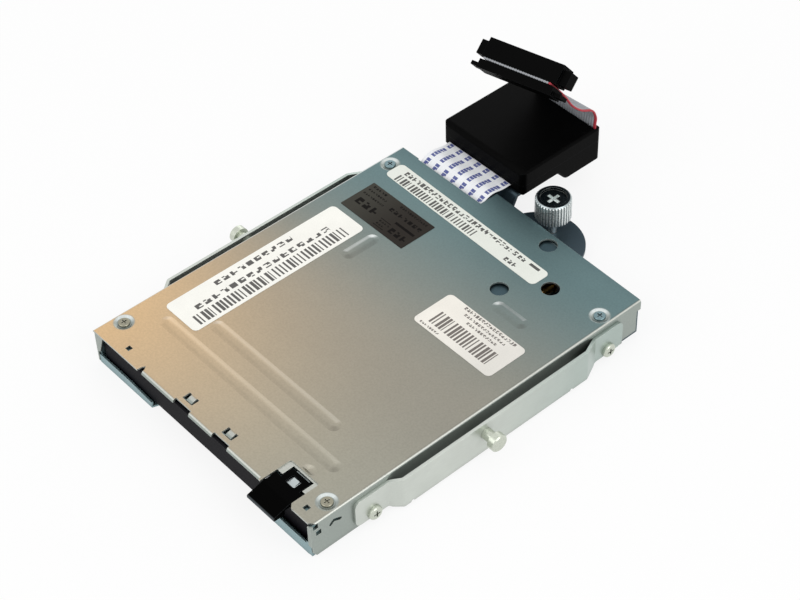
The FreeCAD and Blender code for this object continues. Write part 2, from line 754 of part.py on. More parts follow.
def front_lips():
    """Strips folded down along the front edge with a soft bend."""
    lips = []
    back = LIP_FACE + COVER_SHEET
    low = DRIVE_HEIGHT - LIP_DROP
    for left, right in LIP_SPANS:
        points = [(LIP_FACE, DRIVE_HEIGHT), (LIP_ROOT + 0.1, DRIVE_HEIGHT), (LIP_ROOT + 0.1, COVER_UNDER),
                  (back, COVER_UNDER), (back, low), (LIP_FACE, low)]
        lips.append(prism_x(points, left, right, [LIP_BEND, 0, 0, LIP_BEND - COVER_SHEET, 0, 0]))
    return lips


def lances():
    """Small tabs cut on three sides and pressed down behind the lips."""
    tabs = []
    slots = []
    for x in LANCE_X:
        half = LANCE_WIDTH / 2
        y0 = LANCE_Y - LANCE_LENGTH / 2
        y1 = LANCE_Y + LANCE_LENGTH / 2
        slots.append(box((x - half, x + half), (y0, y1), (COVER_UNDER - 0.1, DRIVE_HEIGHT + 0.1)))
        low = DRIVE_HEIGHT - LANCE_DROP
        ramp = [(y1 + 0.01, COVER_UNDER), (y1 + 0.01, DRIVE_HEIGHT), (y0 + 0.5, low + 0.5), (y0 + 0.5, low)]
        tabs.append(prism_x(ramp, x - half + LANCE_SIDE, x + half - LANCE_SIDE))
    return tabs, slots


def skirt_windows():
    """Openings near the front of both skirts, and the step at the back of the right one."""
    tools = []
    for x0, x1 in ((SKIRT_IN - 0.2, HALF + 0.2), (-HALF - 0.2, -SKIRT_IN + 0.2)):
        half = SKIRT_WINDOW_HALF
        for y, drop in SKIRT_WINDOWS:
            z = DRIVE_HEIGHT - drop
            tools.append(box((x0, x1), (y - half, y + half), (z - half, z + half)))
        arc = [(y, DRIVE_HEIGHT - drop) for y, drop in SKIRT_ARC]
        for start, end in zip(arc, arc[1:]):
            tools.append(stadium_x(start, end, SKIRT_ARC_HALF, x0, x1))
    x = (SKIRT_IN - 0.2, HALF + 0.2)
    rear = COVER_DEPTH_RIGHT
    tools.append(box(x, (rear - SKIRT_STEP, rear + 1), (0, DRIVE_HEIGHT - SKIRT_STEP_DROP)))
    tools.append(box(x, (rear - SKIRT_RISE_LENGTH, rear + 1), (0, SKIRT_RISE)))
    return tools


def top_cover():
    outer, outer_bend = cover_section(0)
    inner, inner_bend = cover_section(COVER_SHEET)
    inner[0] = (inner[0][0], SKIRT_BOTTOM - 1)
    inner[1] = (inner[1][0], SKIRT_BOTTOM - 1)
    body = prism_y(outer, 0, COVER_DEPTH_MID, outer_bend)
    body = body.cut(prism_y(inner, -1, COVER_DEPTH_MID + 1, inner_bend))
    body = body.common(prism_z(cover_outline(), SKIRT_BOTTOM, DRIVE_HEIGHT))
    ribs = cover_ribs()
    dishes = [screw_dish(x, y) for x, y in screw_places()]
    tabs, slots = lances()
    added = [rise for rise, _ in ribs] + [dish for dish, _ in dishes]
    added.append(thumb_bump())
    body = fuse([body] + added)
    tools = [groove for _, groove in ribs] + [bowl for _, bowl in dishes] + slots + skirt_windows()
    tools += [upright(PEEP_RADIUS, x, y, COVER_UNDER - 1, DRIVE_HEIGHT + 1) for x, y in PEEP_HOLES]
    side = TAB_HOLE_SIDE / 2
    tools += [box((x - side, x + side), (y - side, y + side), (COVER_UNDER - 1, DRIVE_HEIGHT + 1))
              for x, y in TAB_HOLES]
    tools += button_opening()
    bevel = [(HALF - COVER_CORNER_CUT, -1), (HALF + 1, -1), (HALF + 1, COVER_CORNER_CUT),
             (HALF, COVER_CORNER_CUT), (HALF - COVER_CORNER_CUT, 0)]
    tools.append(prism_z(bevel, COVER_UNDER - CORNER_TAB_GAP, DRIVE_HEIGHT + 1))
    tools.append(prism_z(EDGE_NOTCH, COVER_UNDER - 1, DRIVE_HEIGHT + 1))
    tools.append(box((LIP_SPANS[0][0], LIP_SPANS[-1][1]), (-1, LIP_ROOT),
                     (COVER_UNDER - 1, DRIVE_HEIGHT + 1)))
    tools.append(box((-HALF - 1, -SKIRT_IN + 0.2), (-1, CORNER_TAB_LEFT_FACE),
                     (0, COVER_UNDER - CORNER_TAB_GAP)))
    along, up = SKIRT_CORNER_CUT
    tools.append(prism_x([(-1, 0), (along, 0), (along, SKIRT_BOTTOM), (0, SKIRT_BOTTOM + up),
                          (-1, SKIRT_BOTTOM + up)], SKIRT_IN - 0.2, HALF + 1))
    for x0, x1 in ((SKIRT_IN - 0.2, HALF + 1), (-HALF - 1, -SKIRT_IN + 0.2)):
        for y in RAIL_SCREW_Y:
            tools.append(cylinder(RAIL_SCREW_RADIUS + SCREW_HOLE_PLAY, (x0, y, RAIL_SCREW_Z),
                                  (1, 0, 0), x1 - x0))
    return fuse([cut(body, tools)] + tabs + front_lips() + corner_tabs())


def cross_recess(radius, depth, width, start, direction):
    """Cross-shaped recess for a driver, cut into a head from its face."""
    first = Part.makeBox(2 * radius, width, depth, V(-radius, -width / 2, 0))
    second = Part.makeBox(width, 2 * radius, depth, V(-width / 2, -radius, 0))
    shape = fuse([first, second])
    shape.Placement = FreeCAD.Placement(V(*start), FreeCAD.Rotation(V(0, 0, 1), V(*direction)))
    return shape


def pan_screw(head_radius, head_height, radius, length, seat, direction):
    """Pan-head screw whose head sits at seat and whose shank goes the other way."""
    start = V(*seat)
    way = V(*direction)
    head = Part.makeCylinder(head_radius, head_height, start, way)
    rim = [e for e in head.Edges if abs((e.CenterOfMass - start).dot(way) - head_height) < 1e-6]
    head = head.makeFillet(head_height * 0.6, rim)
    shank = Part.makeCylinder(radius, length + 0.1, start + way * 0.1, way * -1)
    depth = head_height * 0.6
    base = start + way * (head_height - depth)
    recess = cross_recess(head_radius * 0.5, depth + 1, head_radius * 0.22, tuple(base), direction)
    return fuse([head, shank]).cut(recess)


def cover_screws():
    seat = DRIVE_HEIGHT - DISH_DEPTH
    return [pan_screw(SCREW_HEAD_RADIUS, SCREW_HEAD_HEIGHT, SCREW_RADIUS, SCREW_LENGTH,
                      (x, y, seat), (0, 0, 1)) for x, y in screw_places()]


# Frame

def frame_floor():
    """Floor sheet with the thumb recess at the front and the cable step at the back."""
    points = [
        (-WALL_OUT, FLOOR_LIP_LEFT_FACE), (FLOOR_LIP_LEFT_END, FLOOR_LIP_LEFT_FACE),
        (FLOOR_LIP_LEFT_END + 3, THUMB_RECESS),
        (FLOOR_LIP_RIGHT_START - 3, THUMB_RECESS), (FLOOR_LIP_RIGHT_START, 0), (WALL_OUT, 0),
        (WALL_OUT, REAR_WALL_Y + FRAME_SHEET), (CABLE_NOTCH_RIGHT, REAR_WALL_Y + FRAME_SHEET),
        (CABLE_NOTCH_RIGHT, CABLE_WALL_Y + FRAME_SHEET), (-WALL_OUT, CABLE_WALL_Y + FRAME_SHEET),
    ]
    return prism_z(points, 0, FRAME_SHEET, [0, 0, 2, 2, 0, 0, 0, 0, 0, 0])


def frame_walls():
    """Side walls, the walls at the back and the lip at the front."""
    top = DISH_UNDER
    low_top = FFC_HEIGHT_AT_NOTCH - 1.5
    rear = REAR_WALL_Y + FRAME_SHEET
    cable = CABLE_WALL_Y + FRAME_SHEET
    left_front = CORNER_TAB_LEFT_FACE + CORNER_TAB_SHEET + CORNER_TAB_GAP
    left = [(-WALL_OUT, 0), (FLOOR_LIP_LEFT_END, 0), (FLOOR_LIP_LEFT_END, FLOOR_LIP_LOW),
            (FLOOR_LIP_BREAK, FLOOR_LIP_LEFT_TOP), (-WALL_OUT, FLOOR_LIP_LEFT_TOP)]
    right = [(FLOOR_LIP_RIGHT_START, 0), (WALL_OUT - FLOOR_LIP_CORNER_CUT, 0),
             (WALL_OUT, FLOOR_LIP_CORNER_CUT), (WALL_OUT, FLOOR_LIP_RIGHT_TOP),
             (FLOOR_CLIP[1], FLOOR_LIP_RIGHT_TOP), (FLOOR_CLIP[1], FLOOR_CLIP_TOP),
             (FLOOR_CLIP[0], FLOOR_CLIP_TOP), (FLOOR_CLIP[0], FLOOR_LIP_RIGHT_TOP),
             (FLOOR_LIP_RIGHT_START, FLOOR_LIP_RIGHT_TOP)]
    return [
        box((-WALL_OUT, -WALL_IN), (left_front, cable), (0, top)),
        box((WALL_IN, WALL_OUT), (0, rear), (0, top)),
        box((CABLE_NOTCH_RIGHT, WALL_OUT), (REAR_WALL_Y, rear), (0, top)),
        box((-WALL_OUT, CABLE_NOTCH_RIGHT), (CABLE_WALL_Y, cable), (0, low_top)),
        box((CABLE_NOTCH_RIGHT - FRAME_SHEET, CABLE_NOTCH_RIGHT), (CABLE_WALL_Y, rear), (0, low_top)),
        prism_y(left, FLOOR_LIP_LEFT_FACE, FLOOR_LIP_LEFT_FACE + FLOOR_LIP_SHEET),
        prism_y(right, FLOOR_LIP_RIGHT_FACE, FLOOR_LIP_RIGHT_FACE + FLOOR_LIP_SHEET),
        box((PEEP_SHELF_LEFT, PEEP_SHELF_RIGHT), (HOLDER_REAR + PEEP_SHELF_GAP, rear),
            (STEPPER_TOP + PEEP_SHELF_LIFT, STEPPER_TOP + PEEP_SHELF_LIFT + FRAME_SHEET)),
    ]


def frame_tabs():
    """Tabs bent in from the walls, which the cover's screws go into, and the sill in front of them."""
    z = (DISH_UNDER - FRAME_SHEET, DISH_UNDER)
    tabs = [box((-WALL_OUT, FRAME_SILL_LEFT), FRAME_SILL, z)]
    tabs.append(box((FRAME_SILL_RIGHT, WALL_OUT), FRAME_SILL, z))
    for x, y in screw_places():
        inner = math.copysign(WALL_IN - FRAME_TAB_WIDTH, x)
        outer = math.copysign(WALL_OUT, x)
        span = (min(inner, outer), max(inner, outer))
        reach = (y - FRAME_TAB_LENGTH / 2, y + FRAME_TAB_LENGTH / 2)
        tabs.append(box(span, reach, z))
    return tabs


def frame_pin_slots():
    """Upright slots that guide the holder's pins."""
    tools = []
    half = HOLDER_PIN_RADIUS + SLIDE_PLAY
    for y in HOLDER_PIN_Y:
        low = (y, HOLDER_PIN_Z - HOLDER_DROP)
        high = (y, HOLDER_PIN_Z + HOLDER_RISE)
        for x0, x1 in ((-WALL_OUT - 0.5, -WALL_IN + 0.5), (WALL_IN - 0.5, WALL_OUT + 0.5)):
            tools.append(stadium_x(low, high, half, x0, x1))
    return tools


def board_bosses():
    """Bosses that carry the main board."""
    x0 = MAIN_BOARD_LEFT + 3
    x1 = MAIN_BOARD_RIGHT - 3
    places = [(x, y) for x in (x0, x1) for y in (MAIN_BOARD_FRONT + 3, MAIN_BOARD_REAR - 3)]
    return [upright(1.8, x, y, FRAME_SHEET - 0.1, FRAME_SHEET + MAIN_BOARD_LIFT) for x, y in places]


def base_frame():
    body = fuse([frame_floor()] + frame_walls() + frame_tabs() + board_bosses())
    tools = frame_pin_slots()
    hole = SCREW_RADIUS + SCREW_HOLE_PLAY
    tools += [upright(hole, x, y, DISH_UNDER - 2, DISH_UNDER + 1) for x, y in screw_places()]
    reach = 2 * WALL_OUT + 2
    tools.append(cylinder(DOOR_PIN + PIN_PLAY, (-WALL_OUT - 1, DOOR_AXIS_Y, DOOR_AXIS_Z), (1, 0, 0), reach))
    for y in RAIL_SCREW_Y:
        tools.append(cylinder(RAIL_SCREW_RADIUS + SCREW_HOLE_PLAY, (-WALL_OUT - 1, y, RAIL_SCREW_Z),
                              (1, 0, 0), reach))
    for x in TAB_SCREW_X:
        tools.append(cylinder(SCREW_RADIUS + SCREW_HOLE_PLAY, (x, REAR_WALL_Y - 1, TAB_SCREW_Z),
                              (0, 1, 0), 3))
    tools.append(upright(BEARING_RADIUS * 0.5, 0, SPINDLE_Y, -1, 1))
    return cut(body, tools)


# Front door

def front_door():
    half = DOOR_SHEET / 2
    plate = box((-DOOR_HALF, DOOR_HALF), (DOOR_AXIS_Y - half, DOOR_AXIS_Y + half), (DOOR_BOTTOM, DOOR_AXIS_Z))
    barrel = cylinder(DOOR_BARREL, (-DOOR_HALF, DOOR_AXIS_Y, DOOR_AXIS_Z), (1, 0, 0), 2 * DOOR_HALF)
    reach = DOOR_HALF + DOOR_PIN_LENGTH
    pin = cylinder(DOOR_PIN, (-reach, DOOR_AXIS_Y, DOOR_AXIS_Z), (1, 0, 0), 2 * reach)
    return fuse([plate, barrel, pin])


# Eject button and slider

def eject_button():
    side = [
        (BUTTON_PLATE_END, BUTTON_UNDER), (BUTTON_PLATE_END, BUTTON_TOP), (0.6, BUTTON_TOP),
        (BUTTON_FRONT, BUTTON_NOSE_TOP), (BUTTON_FRONT, BUTTON_NOSE_BOTTOM), (-1.0, BUTTON_NOSE_BOTTOM),
        (-1.0, BUTTON_UNDER),
    ]
    plate = prism_x(side, BUTTON_LEFT, BUTTON_RIGHT, [0, 0.2, 2.0, 0.4, 0.4, 0, 0])
    tongue = prism_z(rectangle(BUTTON_TONGUE_LEFT, BUTTON_TONGUE_RIGHT,
                               BUTTON_PLATE_END - 1, BUTTON_TONGUE_END),
                     BUTTON_UNDER, BUTTON_TOP, [0, 0, 0.6, 0.6])
    groove = box((BUTTON_X - SLIDER_TONGUE_HALF - 0.05, BUTTON_X + SLIDER_TONGUE_HALF + 0.05),
                 (SLIDER_TONGUE_FRONT - 0.05, BUTTON_TONGUE_END + 1),
                 (SLIDER_TOP - SLIDER_SHEET - 2, SLIDER_TOP + 0.05))
    wide, deep = BUTTON_WINDOW
    window = prism_z(rectangle(BUTTON_X - wide / 2, BUTTON_X + wide / 2,
                               BUTTON_WINDOW_Y - deep / 2, BUTTON_WINDOW_Y + deep / 2),
                     BUTTON_UNDER - 1, BUTTON_TOP + 1, 0.4)
    return fuse([plate, tongue]).cut(groove).cut(window)


def slider_slots(x0, x1):
    """Slanting slots that lift the holder's pins as the slider moves back."""
    tools = []
    for y in HOLDER_PIN_Y:
        high = (y - SLIDER_OVERTRAVEL, HOLDER_PIN_Z + HOLDER_RISE)
        low = (y + SLIDER_TRAVEL, HOLDER_PIN_Z - HOLDER_DROP)
        tools.append(stadium_x(high, low, HOLDER_PIN_RADIUS + SLIDE_PLAY, x0, x1))
    return tools


def eject_slider():
    z = (SLIDER_TOP - SLIDER_SHEET, SLIDER_TOP)
    arm_bottom = HOLDER_PIN_Z - HOLDER_DROP - HOLDER_PIN_RADIUS - 1.2
    parts = [box((-ARM_OUT, ARM_OUT), (SLIDER_FRONT, SLIDER_FRONT + SLIDER_BAR), z)]
    for sign in (-1, 1):
        strip = sorted((sign * (ARM_OUT - SLIDER_STRIP), sign * ARM_OUT))
        arm = sorted((sign * ARM_IN, sign * ARM_OUT))
        parts.append(box(strip, (SLIDER_FRONT, SLIDER_REAR), z))
        parts.append(box(arm, (SLIDER_FRONT + SLIDER_BAR, SLIDER_REAR), (arm_bottom, SLIDER_TOP)))
        eye = spring_eyes()[1]
        peg = SPRING_RADIUS - SPRING_WIRE - SPRING_PEG_PLAY
        parts.append(box(arm, (eye - 2 * peg, eye + 2 * peg), (SPRING_Z - peg, arm_bottom + 0.1)))
        parts.append(cylinder(peg, (sign * (SPRING_X - SPRING_WIRE), eye, SPRING_Z), (sign, 0, 0),
                              ARM_IN + 0.1 - SPRING_X + SPRING_WIRE))
    tongue = rectangle(BUTTON_X - SLIDER_TONGUE_HALF, BUTTON_X + SLIDER_TONGUE_HALF,
                       SLIDER_TONGUE_FRONT, SLIDER_FRONT + 1)
    parts.append(prism_z(tongue, z[0], z[1]))
    barb = [(BUTTON_WINDOW_Y - 1.0, SLIDER_TOP - 0.1), (BUTTON_WINDOW_Y + 1.1, SLIDER_TOP - 0.1),
            (BUTTON_WINDOW_Y + 1.1, BUTTON_TOP - 0.05)]
    parts.append(prism_x(barb, BUTTON_X - BARB_HALF, BUTTON_X + BARB_HALF))
    return cut(fuse(parts), slider_slots(-HALF, HALF))


def spring_eyes():
    """Where the eyes of the springs sit along Y, at the front and at the back."""
    offset = SPRING_RADIUS - SPRING_WIRE
    return SPRING_FRONT - offset, SPRING_FRONT + 2 * SPRING_WIRE * SPRING_TURNS + offset


def eject_springs():
    """Closed coil springs along Y, drawn as grooved rods with two eyes."""
    profile = [(0.0, SPRING_FRONT)]
    for i in range(SPRING_TURNS):
        profile.append((SPRING_RADIUS - SPRING_WIRE * 0.5, SPRING_FRONT + 2 * SPRING_WIRE * i))
        profile.append((SPRING_RADIUS, SPRING_FRONT + 2 * SPRING_WIRE * (i + 0.5)))
    end = SPRING_FRONT + 2 * SPRING_WIRE * SPRING_TURNS
    profile += [(SPRING_RADIUS - SPRING_WIRE * 0.5, end), (0.0, end)]
    springs = []
    for x in (-SPRING_X, SPRING_X):
        face = Part.Face(Part.makePolygon([V(x + r, y, SPRING_Z) for r, y in profile + profile[:1]]))
        coil = face.revolve(V(x, 0, SPRING_Z), V(0, 1, 0), 360)
        eyes = [Part.makeTorus(SPRING_RADIUS - SPRING_WIRE / 2, SPRING_WIRE / 2, V(x, y, SPRING_Z),
                               V(1, 0, 0)) for y in spring_eyes()]
        springs.append(fuse([coil] + eyes))
    return springs


# Disk holder

def lever_tip(angle_deg, reach=LEVER_REACH):
    angle = math.radians(angle_deg)
    return (LEVER_X + reach * math.cos(angle), LEVER_Y + reach * math.sin(angle))


def lever_sweep():
    """Curved slot in the holder's top, which the lever's pin moves along."""
    play = LEVER_PIN_RADIUS + LEVER_SLOT_PLAY
    z0 = HOLDER_CEILING - 0.5
    height = HOLDER_SHEET + 1.0
    swept = LEVER_SWING_DEG + 2 * LEVER_SLOT_MARGIN_DEG
    ring = Part.makeCylinder(LEVER_REACH + play, height, V(LEVER_X, LEVER_Y, z0), V(0, 0, 1), swept)
    ring = ring.cut(Part.makeCylinder(LEVER_REACH - play, height, V(LEVER_X, LEVER_Y, z0)))
    ring.rotate(V(LEVER_X, LEVER_Y, 0), V(0, 0, 1), LEVER_REST_DEG + LEVER_SLOT_MARGIN_DEG - swept)
    return ring


def disk_holder():
    length = (HOLDER_FRONT, HOLDER_REAR)
    parts = [box((-HOLDER_OUT, HOLDER_OUT), length, (HOLDER_CEILING, HOLDER_TOP))]
    for sign in (-1, 1):
        side = sorted((sign * HOLDER_IN, sign * HOLDER_OUT))
        flange = sorted((sign * (HOLDER_IN - HOLDER_FLANGE), sign * HOLDER_OUT))
        parts.append(box(side, length, (HOLDER_UNDER, HOLDER_TOP)))
        parts.append(box(flange, length, (HOLDER_UNDER, HOLDER_FLOOR)))
    window = box((-ARM_WINDOW_HALF, ARM_WINDOW_HALF), (ARM_WINDOW_FRONT, HOLDER_REAR + 1),
                 (HOLDER_CEILING - 1, HOLDER_TOP + 1))
    tools = [window, lever_sweep()]
    for sign in (-1, 1):
        for y in HOLDER_PIN_Y:
            tools.append(cylinder(HOLDER_PIN_RADIUS * 0.7, (sign * (HOLDER_IN - 1), y, HOLDER_PIN_Z),
                                  (sign, 0, 0), 2))
    tools.append(upright(LEVER_POST_RADIUS * 0.7, LEVER_X, LEVER_Y, HOLDER_CEILING - 1, HOLDER_TOP + 1))
    return cut(fuse(parts), tools)


def holder_pins():
    """Pins riveted in the holder's sides, which ride in the slots."""
    pins = []
    for sign in (-1, 1):
        for y in HOLDER_PIN_Y:
            stem = cylinder(HOLDER_PIN_RADIUS * 0.7, (sign * HOLDER_IN, y, HOLDER_PIN_Z), (sign, 0, 0),
                            HOLDER_SHEET + 0.1)
            body = cylinder(HOLDER_PIN_RADIUS, (sign * HOLDER_OUT, y, HOLDER_PIN_Z), (sign, 0, 0),
                            WALL_OUT - HOLDER_OUT - 0.02)
            pins.append(fuse([stem, body]))
    return pins


# Shutter lever

def lever_post():
    stem = upright(LEVER_POST_RADIUS * 0.7, LEVER_X, LEVER_Y, HOLDER_CEILING, HOLDER_TOP + 0.05)
    top = HOLDER_TOP + LEVER_GAP + LEVER_SHEET + 0.1
    post = upright(LEVER_POST_RADIUS, LEVER_X, LEVER_Y, HOLDER_TOP, top)
    return fuse([stem, post])


def trigger_lever():
    z0 = HOLDER_TOP + LEVER_GAP
    tip = lever_tip(LEVER_REST_DEG)
    hub = upright(LEVER_HUB_RADIUS, LEVER_X, LEVER_Y, z0, z0 + LEVER_SHEET)
    arm = stadium_z((LEVER_X, LEVER_Y), tip, LEVER_PIN_RADIUS + 0.9, z0, z0 + LEVER_SHEET)
    hole = upright(LEVER_POST_RADIUS + PIN_PLAY, LEVER_X, LEVER_Y, z0 - 1, z0 + 2)
    socket = upright(LEVER_PIN_RADIUS * 0.7, tip[0], tip[1], z0 - 1, z0 + 2)
    return fuse([hub, arm]).cut(hole).cut(socket)


def lever_pin():
    z0 = HOLDER_TOP + LEVER_GAP
    x, y = lever_tip(LEVER_REST_DEG)
    stem = upright(LEVER_PIN_RADIUS * 0.7, x, y, z0 - 0.05, z0 + LEVER_SHEET)
    return fuse([stem, upright(LEVER_PIN_RADIUS, x, y, z0 - LEVER_PIN_LENGTH, z0)])


# Spindle

def spindle_bearing():
    wall = upright(BEARING_RADIUS, 0, SPINDLE_Y, FRAME_SHEET, BEARING_TOP)
    return wall.cut(upright(SPINDLE_RADIUS + ROD_PLAY, 0, SPINDLE_Y, 0, BEARING_TOP + 1))


def spindle_hub():
    """Shaft, chuck plate and centring tip."""
    shaft = upright(SPINDLE_RADIUS, 0, SPINDLE_Y, FRAME_SHEET + 0.2, ROTOR_TOP + 0.05)
    plate = upright(CHUCK_RADIUS, 0, SPINDLE_Y, ROTOR_TOP, ROTOR_TOP + CHUCK_PLATE)
    tip = upright(SPINDLE_TIP_RADIUS, 0, SPINDLE_Y, ROTOR_TOP, SPINDLE_TIP)
    rim = [e for e in tip.Edges if e.BoundBox.ZMin > SPINDLE_TIP - 1e-4]
    socket = upright(DRIVE_PIN_RADIUS, DRIVE_PIN_OFFSET, SPINDLE_Y, ROTOR_TOP - 1, SPINDLE_TIP)
    return fuse([shaft, plate, tip.makeChamfer(0.5, rim)]).cut(socket)


def drive_pin():
    return upright(DRIVE_PIN_RADIUS, DRIVE_PIN_OFFSET, SPINDLE_Y, ROTOR_TOP, DRIVE_PIN_TOP)


def spindle_rotor():
    """Steel pan that carries the ring magnet."""
    plate = upright(ROTOR_RADIUS, 0, SPINDLE_Y, ROTOR_TOP - ROTOR_PLATE, ROTOR_TOP)
    skirt = upright(ROTOR_RADIUS, 0, SPINDLE_Y, ROTOR_TOP - ROTOR_PLATE - MAGNET_HEIGHT, ROTOR_TOP)
    skirt = skirt.cut(upright(ROTOR_RADIUS - 0.5, 0, SPINDLE_Y, 0, ROTOR_TOP + 1))
    return fuse([plate, skirt]).cut(upright(SPINDLE_RADIUS, 0, SPINDLE_Y, 0, ROTOR_TOP + 1))


def rotor_magnet():
    top = ROTOR_TOP - ROTOR_PLATE
    ring = upright(ROTOR_RADIUS - 0.5, 0, SPINDLE_Y, top - MAGNET_HEIGHT, top)
    return ring.cut(upright(MAGNET_INNER, 0, SPINDLE_Y, 0, top + 1))


def stator_coils():
    base = FRAME_SHEET + BOARD_SHEET
    coils = []
    for i in range(COIL_COUNT):
        angle = 2 * math.pi * i / COIL_COUNT
        x = COIL_CIRCLE * math.cos(angle)
        y = SPINDLE_Y + COIL_CIRCLE * math.sin(angle)
        coil = upright(COIL_OUTER, x, y, base, base + COIL_HEIGHT)
        coils.append(coil.cut(upright(COIL_INNER, x, y, base - 1, base + 1)))
    return coils


def motor_board():
    plan = rectangle(-MOTOR_BOARD_HALF, MOTOR_BOARD_HALF, MOTOR_BOARD_FRONT, MOTOR_BOARD_REAR)
    board = prism_z(plan, FRAME_SHEET, FRAME_SHEET + BOARD_SHEET, 3.0)
    return board.cut(upright(BEARING_RADIUS, 0, SPINDLE_Y, 0, 3))


# Head carriage

def guide_rods():
    return [cylinder(ROD_RADIUS, (x, ROD_FRONT, ROD_Z), (0, 1, 0), ROD_REAR - ROD_FRONT) for x in ROD_X]


def rod_blocks():
    """Blocks on the floor that hold the ends of both rods."""
    blocks = []
    for x in ROD_X:
        for y0 in (ROD_FRONT, ROD_REAR - ROD_BLOCK_LENGTH):
            body = box((x - ROD_BLOCK_HALF, x + ROD_BLOCK_HALF), (y0, y0 + ROD_BLOCK_LENGTH),
                       (FRAME_SHEET, ROD_Z + ROD_RADIUS + 0.3))
            blocks.append(body.cut(cylinder(ROD_RADIUS, (x, y0 - 1, ROD_Z), (0, 1, 0), ROD_BLOCK_LENGTH + 2)))
    return blocks


def head_carriage():
    """Sled on the two rods, with posts for the upper arm and a wing for the follower."""
    left = ROD_X[0] - CARRIAGE_SIDE
    right = ROD_X[1] + CARRIAGE_SIDE
    rear = HEAD_Y + CARRIAGE_REAR_OFFSET
    low = (CARRIAGE_BOTTOM, CARRIAGE_TOP)
    parts = [
        box((-TONGUE_HALF, TONGUE_HALF), (HEAD_Y - TONGUE_AHEAD, rear), low),
        box((left, right), (HEAD_Y + CARRIAGE_FRONT_OFFSET, rear), low),
    ]
    post_y = (PIVOT_Y - PIVOT_BARREL, PIVOT_Y + PIVOT_BARREL)
    post_top = PIVOT_Z + PIVOT_RADIUS + 0.8
    inner = ARM_HALF + ARM_SIDE_GAP
    for sign in (-1, 1):
        span = sorted((sign * inner, sign * (inner + POST_SHEET)))
        parts.append(box(span, post_y, (CARRIAGE_BOTTOM, post_top)))
    wing_right = SCREW_X - LEAD_SCREW_RADIUS - 2.4
    wing_z = (SCREW_Z - FOLLOWER_HALF - 0.5, SCREW_Z + FOLLOWER_HALF + 0.5)
    parts.append(box((inner, wing_right), (PIVOT_Y - WING_HALF, PIVOT_Y + WING_HALF), wing_z))
    sled = fuse(parts)
    run = TONGUE_AHEAD + CARRIAGE_REAR_OFFSET + 2 * BORE_OVERRUN
    tools = [cylinder(ROD_RADIUS + ROD_PLAY, (x, HEAD_Y - TONGUE_AHEAD - BORE_OVERRUN, ROD_Z), (0, 1, 0), run)
             for x in ROD_X]
    reach = inner + POST_SHEET
    tools.append(cylinder(PIVOT_RADIUS, (-reach, PIVOT_Y, PIVOT_Z), (1, 0, 0), 2 * reach))
    tools.append(cylinder(FOLLOWER_HALF * 0.6, (wing_right - 1.5, PIVOT_Y, SCREW_Z), (1, 0, 0), 2))
    tools.append(upright(1.4, -3.2, HEAD_Y + 8, 0, CARRIAGE_TOP + 1))
    tools.append(upright(1.4, 3.2, HEAD_Y + 8, 0, CARRIAGE_TOP + 1))
    return cut(sled, tools)


def screw_follower():
    """Stud on the carriage's wing, whose tip rides at the screw's thread."""
    wing_right = SCREW_X - LEAD_SCREW_RADIUS - 2.4
    start = (wing_right - 1.5, PIVOT_Y, SCREW_Z)
    tip = SCREW_X - LEAD_SCREW_RADIUS - FOLLOWER_GAP
    stud = cylinder(FOLLOWER_HALF * 0.6, start, (1, 0, 0), tip - start[0])
    collar = cylinder(FOLLOWER_HALF, (wing_right, PIVOT_Y, SCREW_Z), (1, 0, 0), 0.8)
    return fuse([stud, collar])


def lower_head():
    """Head button on the sled, under the disk."""
    block = box((-HEAD_HALF, HEAD_HALF), (HEAD_Y - HEAD_HALF, HEAD_Y + HEAD_HALF),
                (CARRIAGE_TOP, LOWER_HEAD_TOP))
    edges = [e for e in block.Edges if e.BoundBox.ZMin > LOWER_HEAD_TOP - 1e-4]
    return block.makeFillet(0.3, edges)


def arm_pivot():
    reach = ARM_HALF + ARM_SIDE_GAP + POST_SHEET
    return cylinder(PIVOT_RADIUS, (-reach, PIVOT_Y, PIVOT_Z), (1, 0, 0), 2 * reach)


def upper_arm():
    """Arm above the disk, hinged at the back of the carriage."""
    top = ARM_BOTTOM + ARM_SHEET
    taper = HEAD_Y + ARM_TAPER
    tip = HEAD_HALF + 1.5
    plan = [(-ARM_HALF, PIVOT_Y), (-ARM_HALF, taper), (-tip, HEAD_Y - ARM_AHEAD),
            (tip, HEAD_Y - ARM_AHEAD), (ARM_HALF, taper), (ARM_HALF, PIVOT_Y)]
    plate = prism_z(plan, ARM_BOTTOM, top, [0, 2, 1, 1, 2, 0])
    barrel = cylinder(PIVOT_BARREL, (-ARM_HALF, PIVOT_Y, PIVOT_Z), (1, 0, 0), 2 * ARM_HALF)
    web = box((-ARM_HALF, ARM_HALF), (PIVOT_Y - PIVOT_BARREL, PIVOT_Y), (PIVOT_Z, top))
    bore = cylinder(PIVOT_RADIUS + ROD_PLAY, (-ARM_HALF - 1, PIVOT_Y, PIVOT_Z), (1, 0, 0), 2 * ARM_HALF + 2)
    start, end = ((0, HEAD_Y + reach) for reach in ARM_HOLE)
    hole = stadium_z(start, end, 1.6, ARM_BOTTOM - 1, top + 1)
    return fuse([plate, barrel, web]).cut(bore).cut(hole)


def upper_head():
    return box((-HEAD_HALF, HEAD_HALF), (HEAD_Y - HEAD_HALF, HEAD_Y + HEAD_HALF),
               (UPPER_HEAD_BOTTOM, ARM_BOTTOM))


# Stepper motor

